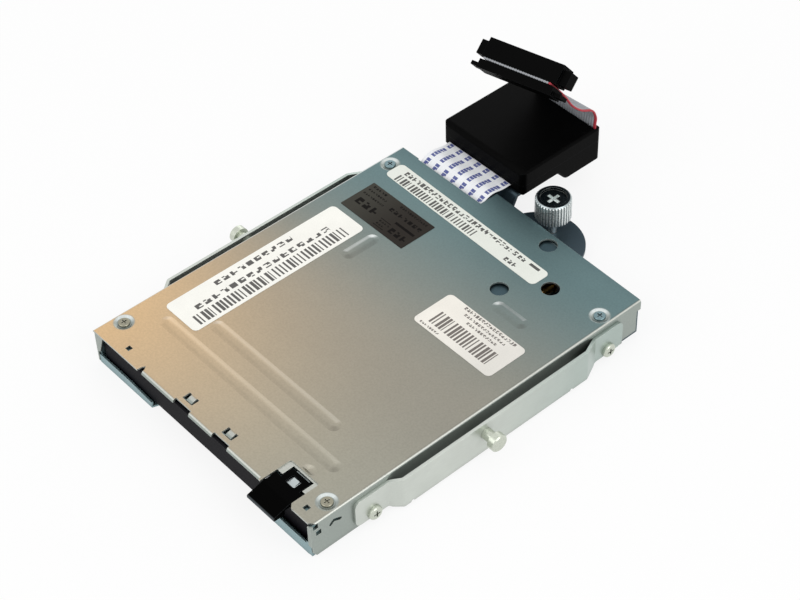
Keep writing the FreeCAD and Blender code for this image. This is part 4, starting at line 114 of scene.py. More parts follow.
@dataclass(frozen=True)
class Surface:
    """A finish: a body colour that may fade along an axis, grain, clouding, lighter edges and darker
    crevices. The fade is painted light, the lighter edges are part wear and part painted highlight, and the
    darker crevices are painted shade.

    A real grain of a few hundredths of a millimetre is drawn at grain_mm, as coarse as it needs to show.
    Its stretch is how much finer it is along each axis, and relief_mm is its height.
    """

    name: str
    hex: str
    metallic: float = 0.0
    roughness: float = 0.4
    ior: float = 1.5
    specular: float = 0.5
    grain_mm: float = 0.4
    grain_detail: float = 2.0
    grain_shade: float = 0.03
    rough_swing: float = 0.05
    relief_mm: float = 0.004
    stretch: tuple[float, float, float] = (1.0, 1.0, 1.0)
    cloud_mm: float = 7.0
    cloud_detail: float = 3.0
    cloud_shade: float = 0.03
    edge_mm: float = 0.12
    edge_wear_and_highlight_hex: str = "#E4E8E2"
    edge_wear_and_highlight_share: float = 0.35
    crevice_shade_mm: float = 4.0
    crevice_shade_share: float = 0.45
    far_hex: str = ""
    axis: str = "Y"
    reach_mm: tuple[float, float] = (0.0, 100.0)

    def paint(self, tree: NodeTree, place: Node) -> tuple | Node:
        """The body colour, before the grain and the clouding.

        Args:
            tree: The material's tree.
            place: The Separate XYZ node of the Object coordinates.

        Returns:
            A linear colour, or the node that carries one.
        """
        if not self.far_hex:
            return linear(self.hex)
        # The fade along the axis is painted light that changes along the part
        offset = FRONT_EDGE if self.axis == "Y" else 0.0
        low, high = ((v + offset) * MM for v in self.reach_mm)
        share = add(tree, "ShaderNodeMapRange", {0: place.outputs[self.axis], 1: low, 2: high},
                    interpolation_type="SMOOTHSTEP")
        return add(tree, "ShaderNodeMix", {0: share, 6: linear(self.hex), 7: linear(self.far_hex)},
                   data_type="RGBA")

    def build(self) -> Material:
        """Makes the material.

        Returns:
            The material, with its body colour, edge wear with a painted highlight, painted shade in crevices,
            and relief.
        """
        material = bpy.data.materials.new(self.name)
        material.use_nodes = True
        tree = material.node_tree
        tree.nodes.clear()
        spot = add(tree, "ShaderNodeTexCoord").outputs["Object"]
        place = add(tree, "ShaderNodeSeparateXYZ", {0: spot})
        fine = add(tree, "ShaderNodeMapping", {"Vector": spot, "Scale": self.stretch})
        grain, cloud = (
            add(tree, "ShaderNodeTexNoise", {"Vector": spread, "Scale": 1 / (size * MM), "Detail": detail})
            for spread, size, detail in ((fine, self.grain_mm, self.grain_detail),
                                         (spot, self.cloud_mm, self.cloud_detail)))
        # Edges turn towards a lighter colour: part wear, part painted highlight
        round_normal = add(tree, "ShaderNodeBevel", {"Radius": self.edge_mm * MM}, samples=FEELERS)
        flat_normal = add(tree, "ShaderNodeNewGeometry").outputs["Normal"]
        turn = add(tree, "ShaderNodeVectorMath", {0: round_normal, 1: flat_normal}, operation="DOT_PRODUCT")
        none, full = EDGE_SPAN
        edge = add(tree, "ShaderNodeMapRange", {0: turn, 1: none, 2: full, 3: 0.0, 4: self.edge_wear_and_highlight_share})
        # Crevices that the sky barely reaches turn darker: painted shade
        sky = add(tree, "ShaderNodeAmbientOcclusion", {"Distance": self.crevice_shade_mm * MM}, samples=FEELERS)
        none, full = CREVICE_SPAN
        crevice_shade = add(tree, "ShaderNodeMapRange",
                    {0: sky.outputs["AO"], 1: full, 2: none, 3: 1 - self.crevice_shade_share, 4: 1.0})
        low, high = NOISE_SPAN
        specks, drift, rough = (
            add(tree, "ShaderNodeMapRange", {0: noise, 1: low, 2: high, 3: mean - swing, 4: mean + swing})
            for noise, mean, swing in ((grain, 1.0, self.grain_shade), (cloud, 1.0, self.cloud_shade),
                                       (grain, self.roughness, self.rough_swing)))
        shade = add(tree, "ShaderNodeMath", {0: specks, 1: drift}, operation="MULTIPLY")
        worn_and_lit = add(tree, "ShaderNodeMix", {0: edge, 6: self.paint(tree, place), 7: linear(self.edge_wear_and_highlight_hex)},
                   data_type="RGBA")
        speckled_and_shaded = add(tree, "ShaderNodeMath", {0: shade, 1: crevice_shade}, operation="MULTIPLY")
        colour = add(tree, "ShaderNodeVectorMath", {0: worn_and_lit, 1: speckled_and_shaded}, operation="MULTIPLY")
        relief = add(tree, "ShaderNodeBump",
                     {"Height": grain, "Distance": self.relief_mm * MM, "Normal": round_normal})
        shader = add(tree, "ShaderNodeBsdfPrincipled",
                     {"Base Color": colour, "Roughness": rough, "Normal": relief, "Metallic": self.metallic,
                      "IOR": self.ior, "Specular IOR Level": self.specular})
        add(tree, "ShaderNodeOutputMaterial", {"Surface": shader})
        return material


@dataclass(frozen=True)
class CoverSheet(Surface):
    """Electro-galvanised deep-drawn sheet: the top drifts from a warm front corner to a teal rear edge, a
    painted reflection of the room over the zinc's own tone, with painted shade and highlights on its ribs,
    folds and dishes.
    """

    # The colour stops and the warm front corner are a painted reflection of the room over the zinc's own tone
    front_hex: str = "#A09E91"
    middle_hex: str = "#949186"
    rear_hex: str = "#637B7D"
    last_hex: str = "#536A6E"
    drift_mm: tuple[float, float] = (5.0, 125.0)
    drift_skew: float = -0.1
    middle_stop: float = 0.375
    rear_stop: float = 0.89
    warm_reflection_hex: str = "#D8B78C"
    warm_reflection_reach_mm: tuple[float, float] = (5.0, 80.0)
    warm_reflection_power: float = 1.5
    half_width_mm: float = 48.0
    # Painted shade on the near flanks of the ribs, and a painted highlight on their far shoulders
    near_side: tuple[float, float, float] = (0.77, -0.64, 0.0)
    flank_turn: tuple[float, float] = (0.1, 0.24)
    flank_shade_hex: str = "#4E4A44"
    flank_shade_share: float = 0.35
    shoulder_highlight_hex: str = "#F2F5F4"
    shoulder_highlight_share: float = 0.95
    top_mm: tuple[float, float] = (12.55, 12.67)
    # Painted highlight along the folds
    step_mm: tuple[float, float] = (12.25, 12.35)
    fold_highlight_hex: str = "#BDBFB8"
    # The dishes are a cooler grey, with a painted highlight on the slope that faces the near side
    dish_hex: str = "#8F9996"
    dish_highlight_hex: str = "#E2EAEA"
    dish_highlight_turn: float = 0.3
    dish_share: float = 0.7
    dish_x_mm: float = 44.3
    dish_y_mm: tuple[float, float] = (8.2, 107.4)
    dish_reach_mm: tuple[float, float] = (3.3, 2.9)

    def drift(self, tree: NodeTree, place: Node) -> Node:
        """How far a place is along the top, from 0 at the front to 1 at the rear, a little askew.

        Args:
            tree: The material's tree.
            place: The Separate XYZ node of the Object coordinates.

        Returns:
            The node that carries the share.
        """
        along = add(tree, "ShaderNodeMath",
                    {0: place.outputs["X"], 1: self.drift_skew, 2: place.outputs["Y"]},
                    operation="MULTIPLY_ADD")
        low, high = ((v + FRONT_EDGE) * MM for v in self.drift_mm)
        return add(tree, "ShaderNodeMapRange", {0: along, 1: low, 2: high})

    def top(self, tree: NodeTree, place: Node, share: Node) -> Node:
        """The flat top's colour: a painted reflection of the room drifting along it over the zinc's own tone,
        and a warm painted reflection at the front left corner.

        Args:
            tree: The material's tree.
            place: The Separate XYZ node of the Object coordinates.
            share: How far a place is along the top.

        Returns:
            The node that carries the colour.
        """
        # Painted reflection of the room, drifting from front to rear
        ramp = add(tree, "ShaderNodeValToRGB", {0: share})
        ramp.color_ramp.interpolation = "EASE"
        stops = ramp.color_ramp.elements
        stops[0].color = linear(self.front_hex)
        stops[1].color = linear(self.last_hex)
        stops.new(self.middle_stop).color = linear(self.middle_hex)
        stops.new(self.rear_stop).color = linear(self.rear_hex)
        # Painted reflection of a warm lamp at the front left corner
        half = self.half_width_mm * MM
        leftward = add(tree, "ShaderNodeMapRange", {0: place.outputs["X"], 1: half, 2: -half})
        steep = add(tree, "ShaderNodeMath", {0: leftward, 1: self.warm_reflection_power}, operation="POWER")
        low, high = ((v + FRONT_EDGE) * MM for v in self.warm_reflection_reach_mm)
        forward = add(tree, "ShaderNodeMapRange", {0: place.outputs["Y"], 1: low, 2: high, 3: 1.0, 4: 0.0},
                      interpolation_type="SMOOTHSTEP")
        warm_reflection = add(tree, "ShaderNodeMath", {0: steep, 1: forward}, operation="MULTIPLY")
        return add(tree, "ShaderNodeMix", {0: warm_reflection, 6: ramp, 7: linear(self.warm_reflection_hex)}, data_type="RGBA")

    def ribs(self, tree: NodeTree, top: Node, share: Node, lean: Node) -> Node:
        """Paints shade on the near flanks of the pressed ribs, and a highlight on their far shoulders towards
        the rear.

        Args:
            tree: The material's tree.
            top: The flat top's colour.
            share: How far a place is along the top.
            lean: How much the surface faces the near side.

        Returns:
            The node that carries the colour.
        """
        low, high = self.flank_turn
        # Painted shade on the near flanks
        flank_shade = add(tree, "ShaderNodeMapRange", {0: lean, 1: low, 2: high, 3: 0.0, 4: self.flank_shade_share})
        # Painted highlight on the far shoulders, strongest towards the rear
        shoulder_highlight = add(tree, "ShaderNodeMapRange",
                       {0: lean, 1: -low, 2: -high, 3: 0.0, 4: self.shoulder_highlight_share})
        shine = add(tree, "ShaderNodeMath", {0: shoulder_highlight, 1: share}, operation="MULTIPLY")
        dark = add(tree, "ShaderNodeMix", {0: flank_shade, 6: top, 7: linear(self.flank_shade_hex)}, data_type="RGBA")
        return add(tree, "ShaderNodeMix", {0: shine, 6: dark, 7: linear(self.shoulder_highlight_hex)}, data_type="RGBA")

    def dishes(self, tree: NodeTree, place: Node, sheet: Node, lean: Node) -> Node:
        """Paints the dishes round the four screws a cooler grey, with a painted highlight on the slope that
        faces the near side.

        Args:
            tree: The material's tree.
            place: The Separate XYZ node of the Object coordinates.
            sheet: The colour outside them.
            lean: How much the surface faces the near side.

        Returns:
            The node that carries the colour.
        """
        side = add(tree, "ShaderNodeMath", {0: place.outputs["X"]}, operation="ABSOLUTE")
        spot = add(tree, "ShaderNodeCombineXYZ", {0: side, 1: place.outputs["Y"]})
        reach = [add(tree, "ShaderNodeVectorMath", {0: spot, 1: row(self.dish_x_mm, y, 0.0)},
                     operation="DISTANCE") for y in self.dish_y_mm]
        nearest = add(tree, "ShaderNodeMath", {0: reach[0], 1: reach[1]}, operation="MINIMUM")
        outer, inner = self.dish_reach_mm
        dish = add(tree, "ShaderNodeMapRange",
                   {0: nearest, 1: outer * MM, 2: inner * MM, 3: 0.0, 4: self.dish_share})
        # Painted highlight on the slope that faces the near side
        rim = add(tree, "ShaderNodeMapRange", {0: lean, 1: 0.0, 2: self.dish_highlight_turn})
        bowl = add(tree, "ShaderNodeMix", {0: rim, 6: linear(self.dish_hex), 7: linear(self.dish_highlight_hex)},
                   data_type="RGBA")
        return add(tree, "ShaderNodeMix", {0: dish, 6: sheet, 7: bowl}, data_type="RGBA")

    def paint(self, tree: NodeTree, place: Node) -> Node:
        """The top with its ribs, the plain skirts, a painted highlight along the folds, and the dishes.

        Args:
            tree: The material's tree.
            place: The Separate XYZ node of the Object coordinates.

        Returns:
            The node that carries the colour.
        """
        normal = add(tree, "ShaderNodeNewGeometry").outputs["Normal"]
        lean = add(tree, "ShaderNodeVectorMath", {0: normal, 1: self.near_side}, operation="DOT_PRODUCT")
        share = self.drift(tree, place)
        top = self.ribs(tree, self.top(tree, place, share), share, lean)
        height, rise = (add(tree, "ShaderNodeMapRange", {0: place.outputs["Z"], 1: low * MM, 2: high * MM})
                        for low, high in (self.top_mm, self.step_mm))
        # Painted highlight along the folds, between the skirt and the top
        skirt = add(tree, "ShaderNodeMix", {0: rise, 6: linear(self.hex), 7: linear(self.fold_highlight_hex)},
                    data_type="RGBA")
        folded = add(tree, "ShaderNodeMix", {0: height, 6: skirt, 7: top}, data_type="RGBA")
        return self.dishes(tree, place, folded, lean)


class Marks(Enum):
    """What a row holds: a cell's columns and tiers, the inked share, and the part of a cell that is used."""

    BARS = (1, 1, 1.0, 0.25, 0.8)
    CHARACTERS = (3, 4, 0.62, 0.72, 0.72)
    SIGNS = (3, 3, 0.78, 0.85, 0.85)
    SOLID = (1, 1, 1.0, 1.0, 1.0)


@dataclass(frozen=True)
class PrintRow:
    """A straight row of generic marks: its start, its cells' pitch, count and height, and its heading."""

    start: tuple[float, float]
    pitch: float
    count: int
    height: float
    marks: Marks = Marks.CHARACTERS
    heading_deg: float = 0.0

    def ink(self, tree: NodeTree, place: Node) -> Node:
        """The row's mask.

        Args:
            tree: The material's tree.
            place: The Separate XYZ node of the Object coordinates.

        Returns:
            A node whose first output is 1 on ink.
        """
        columns, tiers, share, least, most = self.marks.value
        heading = math.radians(self.heading_deg)
        drop = self.height / 2
        origin = row(self.start[0] + drop * math.sin(heading), self.start[1] - drop * math.cos(heading), 0.0)
        spot = add(tree, "ShaderNodeCombineXYZ", {0: place.outputs["X"], 1: place.outputs["Y"]})
        cell = add(tree, "ShaderNodeMapping",
                   {"Vector": spot, "Location": origin, "Rotation": (0.0, 0.0, heading),
                    "Scale": (self.pitch * MM, self.height * MM, 1.0)}, vector_type="TEXTURE")
        grid = add(tree, "ShaderNodeVectorMath", {0: cell, 1: (columns, tiers, 1.0)}, operation="MULTIPLY")
        whole = add(tree, "ShaderNodeVectorMath", {0: grid}, operation="FLOOR")
        chance = add(tree, "ShaderNodeTexWhiteNoise", {"Vector": whole})
        inked = add(tree, "ShaderNodeMath", {0: chance, 1: share}, operation="LESS_THAN")
        axes = add(tree, "ShaderNodeSeparateXYZ", {0: cell})
        part = add(tree, "ShaderNodeMath", {0: axes.outputs[0]}, operation="FRACT")
        number = add(tree, "ShaderNodeMath", {0: axes.outputs[0]}, operation="FLOOR")
        luck = add(tree, "ShaderNodeTexWhiteNoise", {"W": number}, noise_dimensions="1D")
        fill = add(tree, "ShaderNodeMapRange", {0: luck, 3: least, 4: most})
        spaced = add(tree, "ShaderNodeMath", {0: part, 1: fill}, operation="LESS_THAN")
        half = self.count / 2
        along = add(tree, "ShaderNodeMath", {0: axes.outputs[0], 1: half, 2: half}, operation="COMPARE")
        across = add(tree, "ShaderNodeMath", {0: axes.outputs[1], 1: 0.5, 2: 0.5}, operation="COMPARE")
        mask = inked
        for limit in (spaced, along, across):
            mask = add(tree, "ShaderNodeMath", {0: mask, 1: limit}, operation="MULTIPLY")
        return mask


@dataclass(frozen=True)
class PrintedSurface(Surface):
    """Paper or film with printed rows: flatter and duller than bare sheet."""

    roughness: float = 0.6
    specular: float = 0.2
    relief_mm: float = 0.002
    ink_hex: str = "#2A2728"
    ink_share: float = 0.9
    rows: tuple[PrintRow, ...] = ()

    def paint(self, tree: NodeTree, place: Node) -> Node:
        """The sheet's colour with the ink of every row over it.

        Args:
            tree: The material's tree.
            place: The Separate XYZ node of the Object coordinates.

        Returns:
            The node that carries the colour.
        """
        ink = self.rows[0].ink(tree, place)
        for line in self.rows[1:]:
            ink = add(tree, "ShaderNodeMath", {0: ink, 1: line.ink(tree, place)}, operation="MAXIMUM")
        cover = add(tree, "ShaderNodeMath", {0: ink, 1: self.ink_share}, operation="MULTIPLY")
        return add(tree, "ShaderNodeMix", {0: cover, 6: super().paint(tree, place), 7: linear(self.ink_hex)},
                   data_type="RGBA")


@dataclass(frozen=True)
class BoardLaminate(Surface):
    """Glass-epoxy board under green solder mask: paler copper runs show through, drawn coarser."""

    run_hex: str = "#2E6B3C"
    run_mm: float = 1.6
    run_place: float = 0.42
    run_half: float = 0.08

    def paint(self, tree: NodeTree, place: Node) -> Node:
        """Mask colour with square-cornered paler runs.

        Args:
            tree: The material's tree.
            place: The Separate XYZ node of the Object coordinates.

        Returns:
            The node that carries the colour.
        """
        spot = add(tree, "ShaderNodeCombineXYZ", {0: place.outputs["X"], 1: place.outputs["Y"]})
        cells = add(tree, "ShaderNodeTexVoronoi", {"Vector": spot, "Scale": 1 / (self.run_mm * 2 * MM)},
                    distance="CHEBYCHEV", feature="F1")
        run = add(tree, "ShaderNodeMath", {0: cells, 1: self.run_place, 2: self.run_half},
                  operation="COMPARE")
        return add(tree, "ShaderNodeMix", {0: run, 6: linear(self.hex), 7: linear(self.run_hex)},
                   data_type="RGBA")


@dataclass(frozen=True)
class KnobPlating(Surface):
    """Plated knurled knob: bright crests and rim, painted shade in the grooves, and painted shade on the
    recess floor round a bright cross.
    """

    axis_mm: tuple[float, float] = (3.4, 129.5)
    groove_mm: tuple[float, float] = (5.2, 5.45)
    groove_shade_hex: str = "#A4AEB0"
    recess_mm: float = 4.95
    recess_z_mm: tuple[float, float] = (16.1, 17.1)
    recess_shade_hex: str = "#182226"

    def paint(self, tree: NodeTree, place: Node) -> Node:
        """Groove, crest and recess by their distance from the knob's axis and by height, with painted shade
        in the grooves and on the recess floor.

        Args:
            tree: The material's tree.
            place: The Separate XYZ node of the Object coordinates.

        Returns:
            The node that carries the colour.
        """
        spot = add(tree, "ShaderNodeCombineXYZ", {0: place.outputs["X"], 1: place.outputs["Y"]})
        reach = add(tree, "ShaderNodeVectorMath", {0: spot, 1: row(*self.axis_mm, 0.0)}, operation="DISTANCE")
        # Painted shade towards the bottoms of the knurl grooves
        inner, outer = self.groove_mm
        crest = add(tree, "ShaderNodeMapRange", {0: reach, 1: inner * MM, 2: outer * MM})
        side = add(tree, "ShaderNodeMix", {0: crest, 6: linear(self.groove_shade_hex), 7: linear(self.hex)},
                   data_type="RGBA")
        # Painted shade on the recess floor
        inside = add(tree, "ShaderNodeMath", {0: reach, 1: self.recess_mm * MM}, operation="LESS_THAN")
        low, high = (v * MM for v in self.recess_z_mm)
        floor = add(tree, "ShaderNodeMath", {0: place.outputs["Z"], 1: (low + high) / 2, 2: (high - low) / 2},
                    operation="COMPARE")
        recess_shade = add(tree, "ShaderNodeMath", {0: floor, 1: inside}, operation="MULTIPLY")
        bright = add(tree, "ShaderNodeMix", {0: inside, 6: side, 7: linear(self.hex)}, data_type="RGBA")
        return add(tree, "ShaderNodeMix", {0: recess_shade, 6: bright, 7: linear(self.recess_shade_hex)}, data_type="RGBA")


# Start, cell pitch, cell count, height, what the cells hold and the turn of each row
LEFT_ROWS = (
    PrintRow((-30.7, 23.4), 1.35, 41, 4.2, Marks.BARS, 90.0),
    PrintRow((-34.9, 26.4), 3.1, 16, 1.9, Marks.CHARACTERS, 90.0),
    PrintRow((-39.0, 36.4), 2.9, 10, 1.8, Marks.CHARACTERS, 90.0),
)
LONG_ROWS = (
    PrintRow((-37.7, 108.0), 1.75, 28, 1.7, Marks.CHARACTERS, -0.4),
    PrintRow((-38.2, 104.9), 1.2, 29, 2.9, Marks.BARS, -0.4),
    PrintRow((11.6, 107.5), 1.6, 2, 1.4, Marks.CHARACTERS, -0.4),
    PrintRow((16.1, 107.7), 3.9, 1, 1.0, Marks.SOLID, -0.4),
    PrintRow((9.4, 104.1), 1.7, 3, 1.5, Marks.CHARACTERS, -0.4),
)
RIGHT_ROWS = (
    PrintRow((13.4, 73.6), 1.25, 19, 5.4, Marks.BARS),
    PrintRow((16.7, 82.0), 1.15, 18, 1.1),
    PrintRow((18.6, 80.1), 1.1, 15, 0.9),
    PrintRow((21.4, 78.3), 1.1, 11, 0.9),
    PrintRow((11.8, 69.4), 0.95, 8, 0.7),
)
DARK_ROWS = (
    PrintRow((-39.6, 97.0), 1.2, 5, 0.8),
    PrintRow((-39.8, 95.2), 1.0, 8, 0.7),
    PrintRow((-39.9, 93.2), 1.0, 9, 0.7),
    PrintRow((-38.9, 89.8), 3.2, 3, 2.6),
    PrintRow((-27.4, 96.8), 1.0, 12, 0.8),
    PrintRow((-28.9, 94.0), 2.0, 7, 1.4),
    PrintRow((-23.3, 91.1), 8.1, 1, 0.9, Marks.SOLID),
    PrintRow((-27.8, 89.4), 4.4, 1, 0.25, Marks.SOLID),
    PrintRow((-27.8, 86.2), 4.4, 1, 0.25, Marks.SOLID),
    PrintRow((-27.3, 88.4), 1.1, 4, 0.6),
    PrintRow((-27.3, 87.1), 1.1, 3, 0.6),
    PrintRow((-22.2, 87.9), 2.5, 3, 2.2),
)
FILM_ROWS = tuple(
    PrintRow((-38.0 + 3.95 * column, start), 1.1, 5, 1.6, Marks.SIGNS, 90.0)
    for start in (112.6, 119.0, 125.4) for column in range(7)
)


class Finish(Enum):
    """The part's finishes, by what they are made of and how."""

    # Zinc on deep-drawn steel: dull and speckled, with a painted reflection of the room over its top. The
    # spangle is drawn coarser to show
    COVER = CoverSheet("galvanised_cover_sheet", "#9AA29C", 0.85, 0.38, grain_mm=0.6, grain_shade=0.06,
                       cloud_shade=0.012, edge_wear_and_highlight_share=0.4, crevice_shade_share=0.6)
    # The same zinc on the floor pan: cool where light reaches its front lip, and darker towards the back as
    # painted shade under the cover
    FRAME = Surface("galvanised_frame_sheet", "#8AA4A8", 0.85, 0.4, crevice_shade_share=0.55, far_hex="#43575F",
                    reach_mm=(60.0, 88.0))
    # Phosphated and oiled bracket: dark blue-grey with a low sheen
    BRACKET = Surface("phosphated_bracket_sheet", "#3E4E57", 0.7, 0.42, edge_wear_and_highlight_hex="#8FA0A6", edge_wear_and_highlight_share=0.4)
    # Bright zinc on folded strip: pale, with faint draw lines along the strip, and darker towards the back as
    # painted shade
    RAIL = Surface("bright_zinc_rail", "#C8CDC6", 0.85, 0.36, stretch=(1.0, 0.15, 1.0), grain_shade=0.03,
                   far_hex="#AAB7B1", reach_mm=(50.0, 112.0))
    # Electroplated zinc on punched strip: pale blue-grey, with little painted shade in its corners
    MECHANISM = Surface("electro_zinc_strip", "#BCC4C5", 0.9, 0.38, crevice_shade_share=0.3)
    # Chromated steel: a smooth pale olive tint, with painted shade in corners
    CHROMATE = Surface("chromated_steel", "#A2A394", 1.0, 0.3, grain_mm=0.6, relief_mm=0.002, crevice_shade_mm=0.8,
                       crevice_shade_share=0.8)
    # Zinc-plated heads: warm at the front and cooler at the back as a painted reflection, with painted shade
    # in the cross
    COVER_SCREW = Surface("zinc_plated_screw", "#9A9786", 1.0, 0.3, grain_mm=0.5, relief_mm=0.002,
                          crevice_shade_mm=1.0, crevice_shade_share=0.85, far_hex="#788F94", reach_mm=(10.0, 105.0))
    # Turned and zinc-plated pins: pale and smooth, faintly green
    PIN = Surface("zinc_plated_pin", "#C6CBBE", 0.9, 0.3, grain_mm=0.6, relief_mm=0.002, crevice_shade_mm=0.8)
    # Nickel over turned steel: the knurl glints, with painted shade in its grooves and on the recess floor
    KNOB = KnobPlating("nickel_plated_knob", "#EEF3F2", 0.9, 0.3, grain_mm=0.5, crevice_shade_mm=0.5)
    # Drawn music wire: grey with a soft shine along each turn
    SPRING = Surface("drawn_spring_wire", "#A8A9A6", 1.0, 0.3, grain_mm=0.2)
    # Turned brass: warm yellow, fine tool marks
    BRASS = Surface("turned_brass", "#B08A4A", 1.0, 0.32, grain_mm=0.3, crevice_shade_share=0.2)
    # Pressed and oiled bronze powder: brown and grainy
    BRONZE = Surface("sintered_bronze", "#8F6B3E", 1.0, 0.45, grain_mm=0.15, grain_shade=0.08)
    # Lacquered wire wound in layers: red-brown, banded across its height
    COPPER = Surface("enamelled_winding", "#A3552E", 0.9, 0.35, grain_mm=0.2, stretch=(1.0, 1.0, 6.0),
                     grain_shade=0.15)
    # Gold flash on stamped contacts: yellow and clean
    GOLD = Surface("gold_flashed_contact", "#C9A348", 1.0, 0.25, grain_mm=0.3)
    # Pressure-cast aluminium: light grey with an orange-peel skin
    ALUMINIUM = Surface("cast_aluminium", "#A9ABAD", 1.0, 0.45, grain_mm=0.25, relief_mm=0.01)
    # Bonded ferrite: matt charcoal
    FERRITE = Surface("bonded_ferrite", "#1B1B1D", 0.0, 0.6, specular=0.3, edge_wear_and_highlight_hex="#3A3A3E")
    # Spark-eroded ABS moulding: black satin that lifts little of the room, greyer along its edges, part
    # handling wear and part painted highlight
    BLACK = Surface("black_abs", "#030303", 0.0, 0.48, specular=0.03, grain_mm=0.3, relief_mm=0.006,
                    edge_wear_and_highlight_hex="#2E3135", edge_wear_and_highlight_share=0.6)
    # The same moulding polished by fingers, with a greyer nose and edges that are a painted highlight
    BUTTON = Surface("glossy_black_abs", "#474C4F", 0.0, 0.4, specular=0.02, grain_mm=0.3, edge_wear_and_highlight_hex="#4A4C50",
                     edge_wear_and_highlight_share=0.7, far_hex="#010101", reach_mm=(-4.75, -4.4))
    # Baked paint on thin sheet: nearly black, with painted shade in the corners
    FLAP = Surface("black_painted_flap", "#100F13", 0.0, 0.5, specular=0.04, grain_mm=0.3, edge_wear_and_highlight_hex="#3A383E",
                   crevice_shade_share=0.6)
    # Moulded nylon: warm off-white
    IVORY = Surface("ivory_nylon", "#D8D2C2", 0.0, 0.45)
    # Glass-filled moulding: dark grey, streaked by its fibres
    GREY = Surface("glass_filled_grey", "#45464A", 0.0, 0.5, grain_shade=0.08, edge_wear_and_highlight_hex="#606268")
    # Transfer-moulded epoxy: black with a fine matt tooth
    CHIP = Surface("epoxy_chip_moulding", "#161617", 0.0, 0.5, specular=0.3, grain_mm=0.15,
                   edge_wear_and_highlight_hex="#303034")
    # Solder mask over etched copper: glossy green with paler runs
    BOARD = BoardLaminate("green_solder_mask", "#0E3B22", 0.0, 0.25, edge_wear_and_highlight_hex="#5A6A4C")
    # Coated label stock: flat off-white, printed. The print is drawn as generic marks
    LEFT_PAPER = PrintedSurface("label_paper_left", "#F6F5EE", rows=LEFT_ROWS)
    LONG_PAPER = PrintedSurface("label_paper_long", "#E6E9E1", rows=LONG_ROWS)
    # The right label greys towards its right end: painted shade
    RIGHT_PAPER = PrintedSurface("label_paper_right", "#EFEBE2", rows=RIGHT_ROWS, ink_hex="#57504C",
                                 far_hex="#E0DDD6", axis="X", reach_mm=(12.0, 40.0))
    # Smoked film over print: it darkens away from its left corner, painted shade
    DARK_FILM = PrintedSurface("smoked_polyester_film", "#42413B", 0.0, 0.4, specular=0.04, rows=DARK_ROWS,
                               ink_hex="#070404", far_hex="#2E2A26", axis="X", reach_mm=(-42.0, -20.0),
                               edge_wear_and_highlight_hex="#5A5650")
    # Polyester film over flat copper: white with a blue print on it
    CABLE_FILM = PrintedSurface("white_cable_film", "#F0F2F5", 0.0, 0.35, specular=0.3, relief_mm=0.004,
                                rows=FILM_ROWS, ink_hex="#3A488F", ink_share=0.95, crevice_shade_share=0.2)
    # Extruded vinyl: mid grey, with painted shade between the conductors. The red one marks the first
    # conductor
    VINYL = Surface("grey_ribbon_vinyl", "#94979C", 0.0, 0.45, specular=0.35, crevice_shade_share=0.8)
    RED_VINYL = Surface("red_marker_vinyl", "#A8323C", 0.0, 0.45, specular=0.35, edge_wear_and_highlight_hex="#C05058")

    @property
    def material(self) -> Material:
        """The finish's material, built when it is first asked for."""
        return bpy.data.materials.get(self.value.name) or self.value.build()


# Geometry node trees

def new_tree(name: str, inputs: dict[str, str]) -> tuple[NodeTree, Node]:
    """An empty geometry tree with its group input.

    Args:
        name: The tree's name.
        inputs: Name of each input to the type of its socket, after the geometry.

    Returns:
        The tree and its input node.
    """
    tree = bpy.data.node_groups.new(name, "GeometryNodeTree")
    tree.interface.new_socket("Geometry", in_out="INPUT", socket_type="NodeSocketGeometry")
    for label, kind in inputs.items():
        tree.interface.new_socket(label, in_out="INPUT", socket_type="NodeSocket" + kind)
    tree.interface.new_socket("Geometry", in_out="OUTPUT", socket_type="NodeSocketGeometry")
    return tree, add(tree, "NodeGroupInput")


def close_tree(tree: NodeTree, solid: Node, finish: NodeSocket,
               special: tuple[Node, NodeSocket] | None = None) -> None:
    """Ends a tree in smooth shading, Realize Instances and Set Material.

    Args:
        tree: The tree.
        solid: The node that carries the finished geometry.
        finish: The input socket of its material.
        special: A selection and the input socket of the material that it gets.
    """
    smooth = add(tree, "GeometryNodeSetShadeSmooth", {"Geometry": solid})
    real = add(tree, "GeometryNodeRealizeInstances", {"Geometry": smooth})
    last = add(tree, "GeometryNodeSetMaterial", {"Geometry": real, "Material": finish})
    if special:
        last = add(tree, "GeometryNodeSetMaterial",
                   {"Geometry": last, "Selection": special[0], "Material": special[1]})
    add(tree, "NodeGroupOutput", {0: last})


def grow(name: str, mesh: Mesh, tree: NodeTree, sizes: dict[str, float | Material]) -> Object:
    """Runs a geometry tree on a mesh and keeps the result as a plain mesh.

    Args:
        name: The piece's name.
        mesh: What the tree starts from.
        tree: The tree.
        sizes: Name of each input to its value.

    Returns:
        The finished piece, at the origin.
    """
    piece = bpy.data.objects.new(name, mesh)
    bpy.context.scene.collection.objects.link(piece)
    modifier = piece.modifiers.new("shape", "NODES")
    modifier.node_group = tree
    for item in tree.interface.items_tree:
        if item.in_out == "INPUT" and item.name in sizes:
            modifier[item.identifier] = sizes[item.name]
    graph = bpy.context.evaluated_depsgraph_get()
    final = bpy.data.meshes.new_from_object(piece.evaluated_get(graph), depsgraph=graph)
    piece.modifiers.clear()
    piece.data = final
    bpy.data.meshes.remove(mesh)
    return piece


def guide_line(points: list[Vector], across: list[Vector]) -> Mesh:
    """A line of edges with the direction across it kept at each point.

    Args:
        points: Where the line goes, in metres.
        across: Unit vectors across it.

    Returns:
        The mesh, for a tree to sweep along.
    """
    mesh = bpy.data.meshes.new("guide")
    mesh.from_pydata(points, [(i, i + 1) for i in range(len(points) - 1)], [])
    layer = mesh.attributes.new("across", "FLOAT_VECTOR", "POINT")
    for item, vector in zip(layer.data, across):
        item.vector = vector
    return mesh


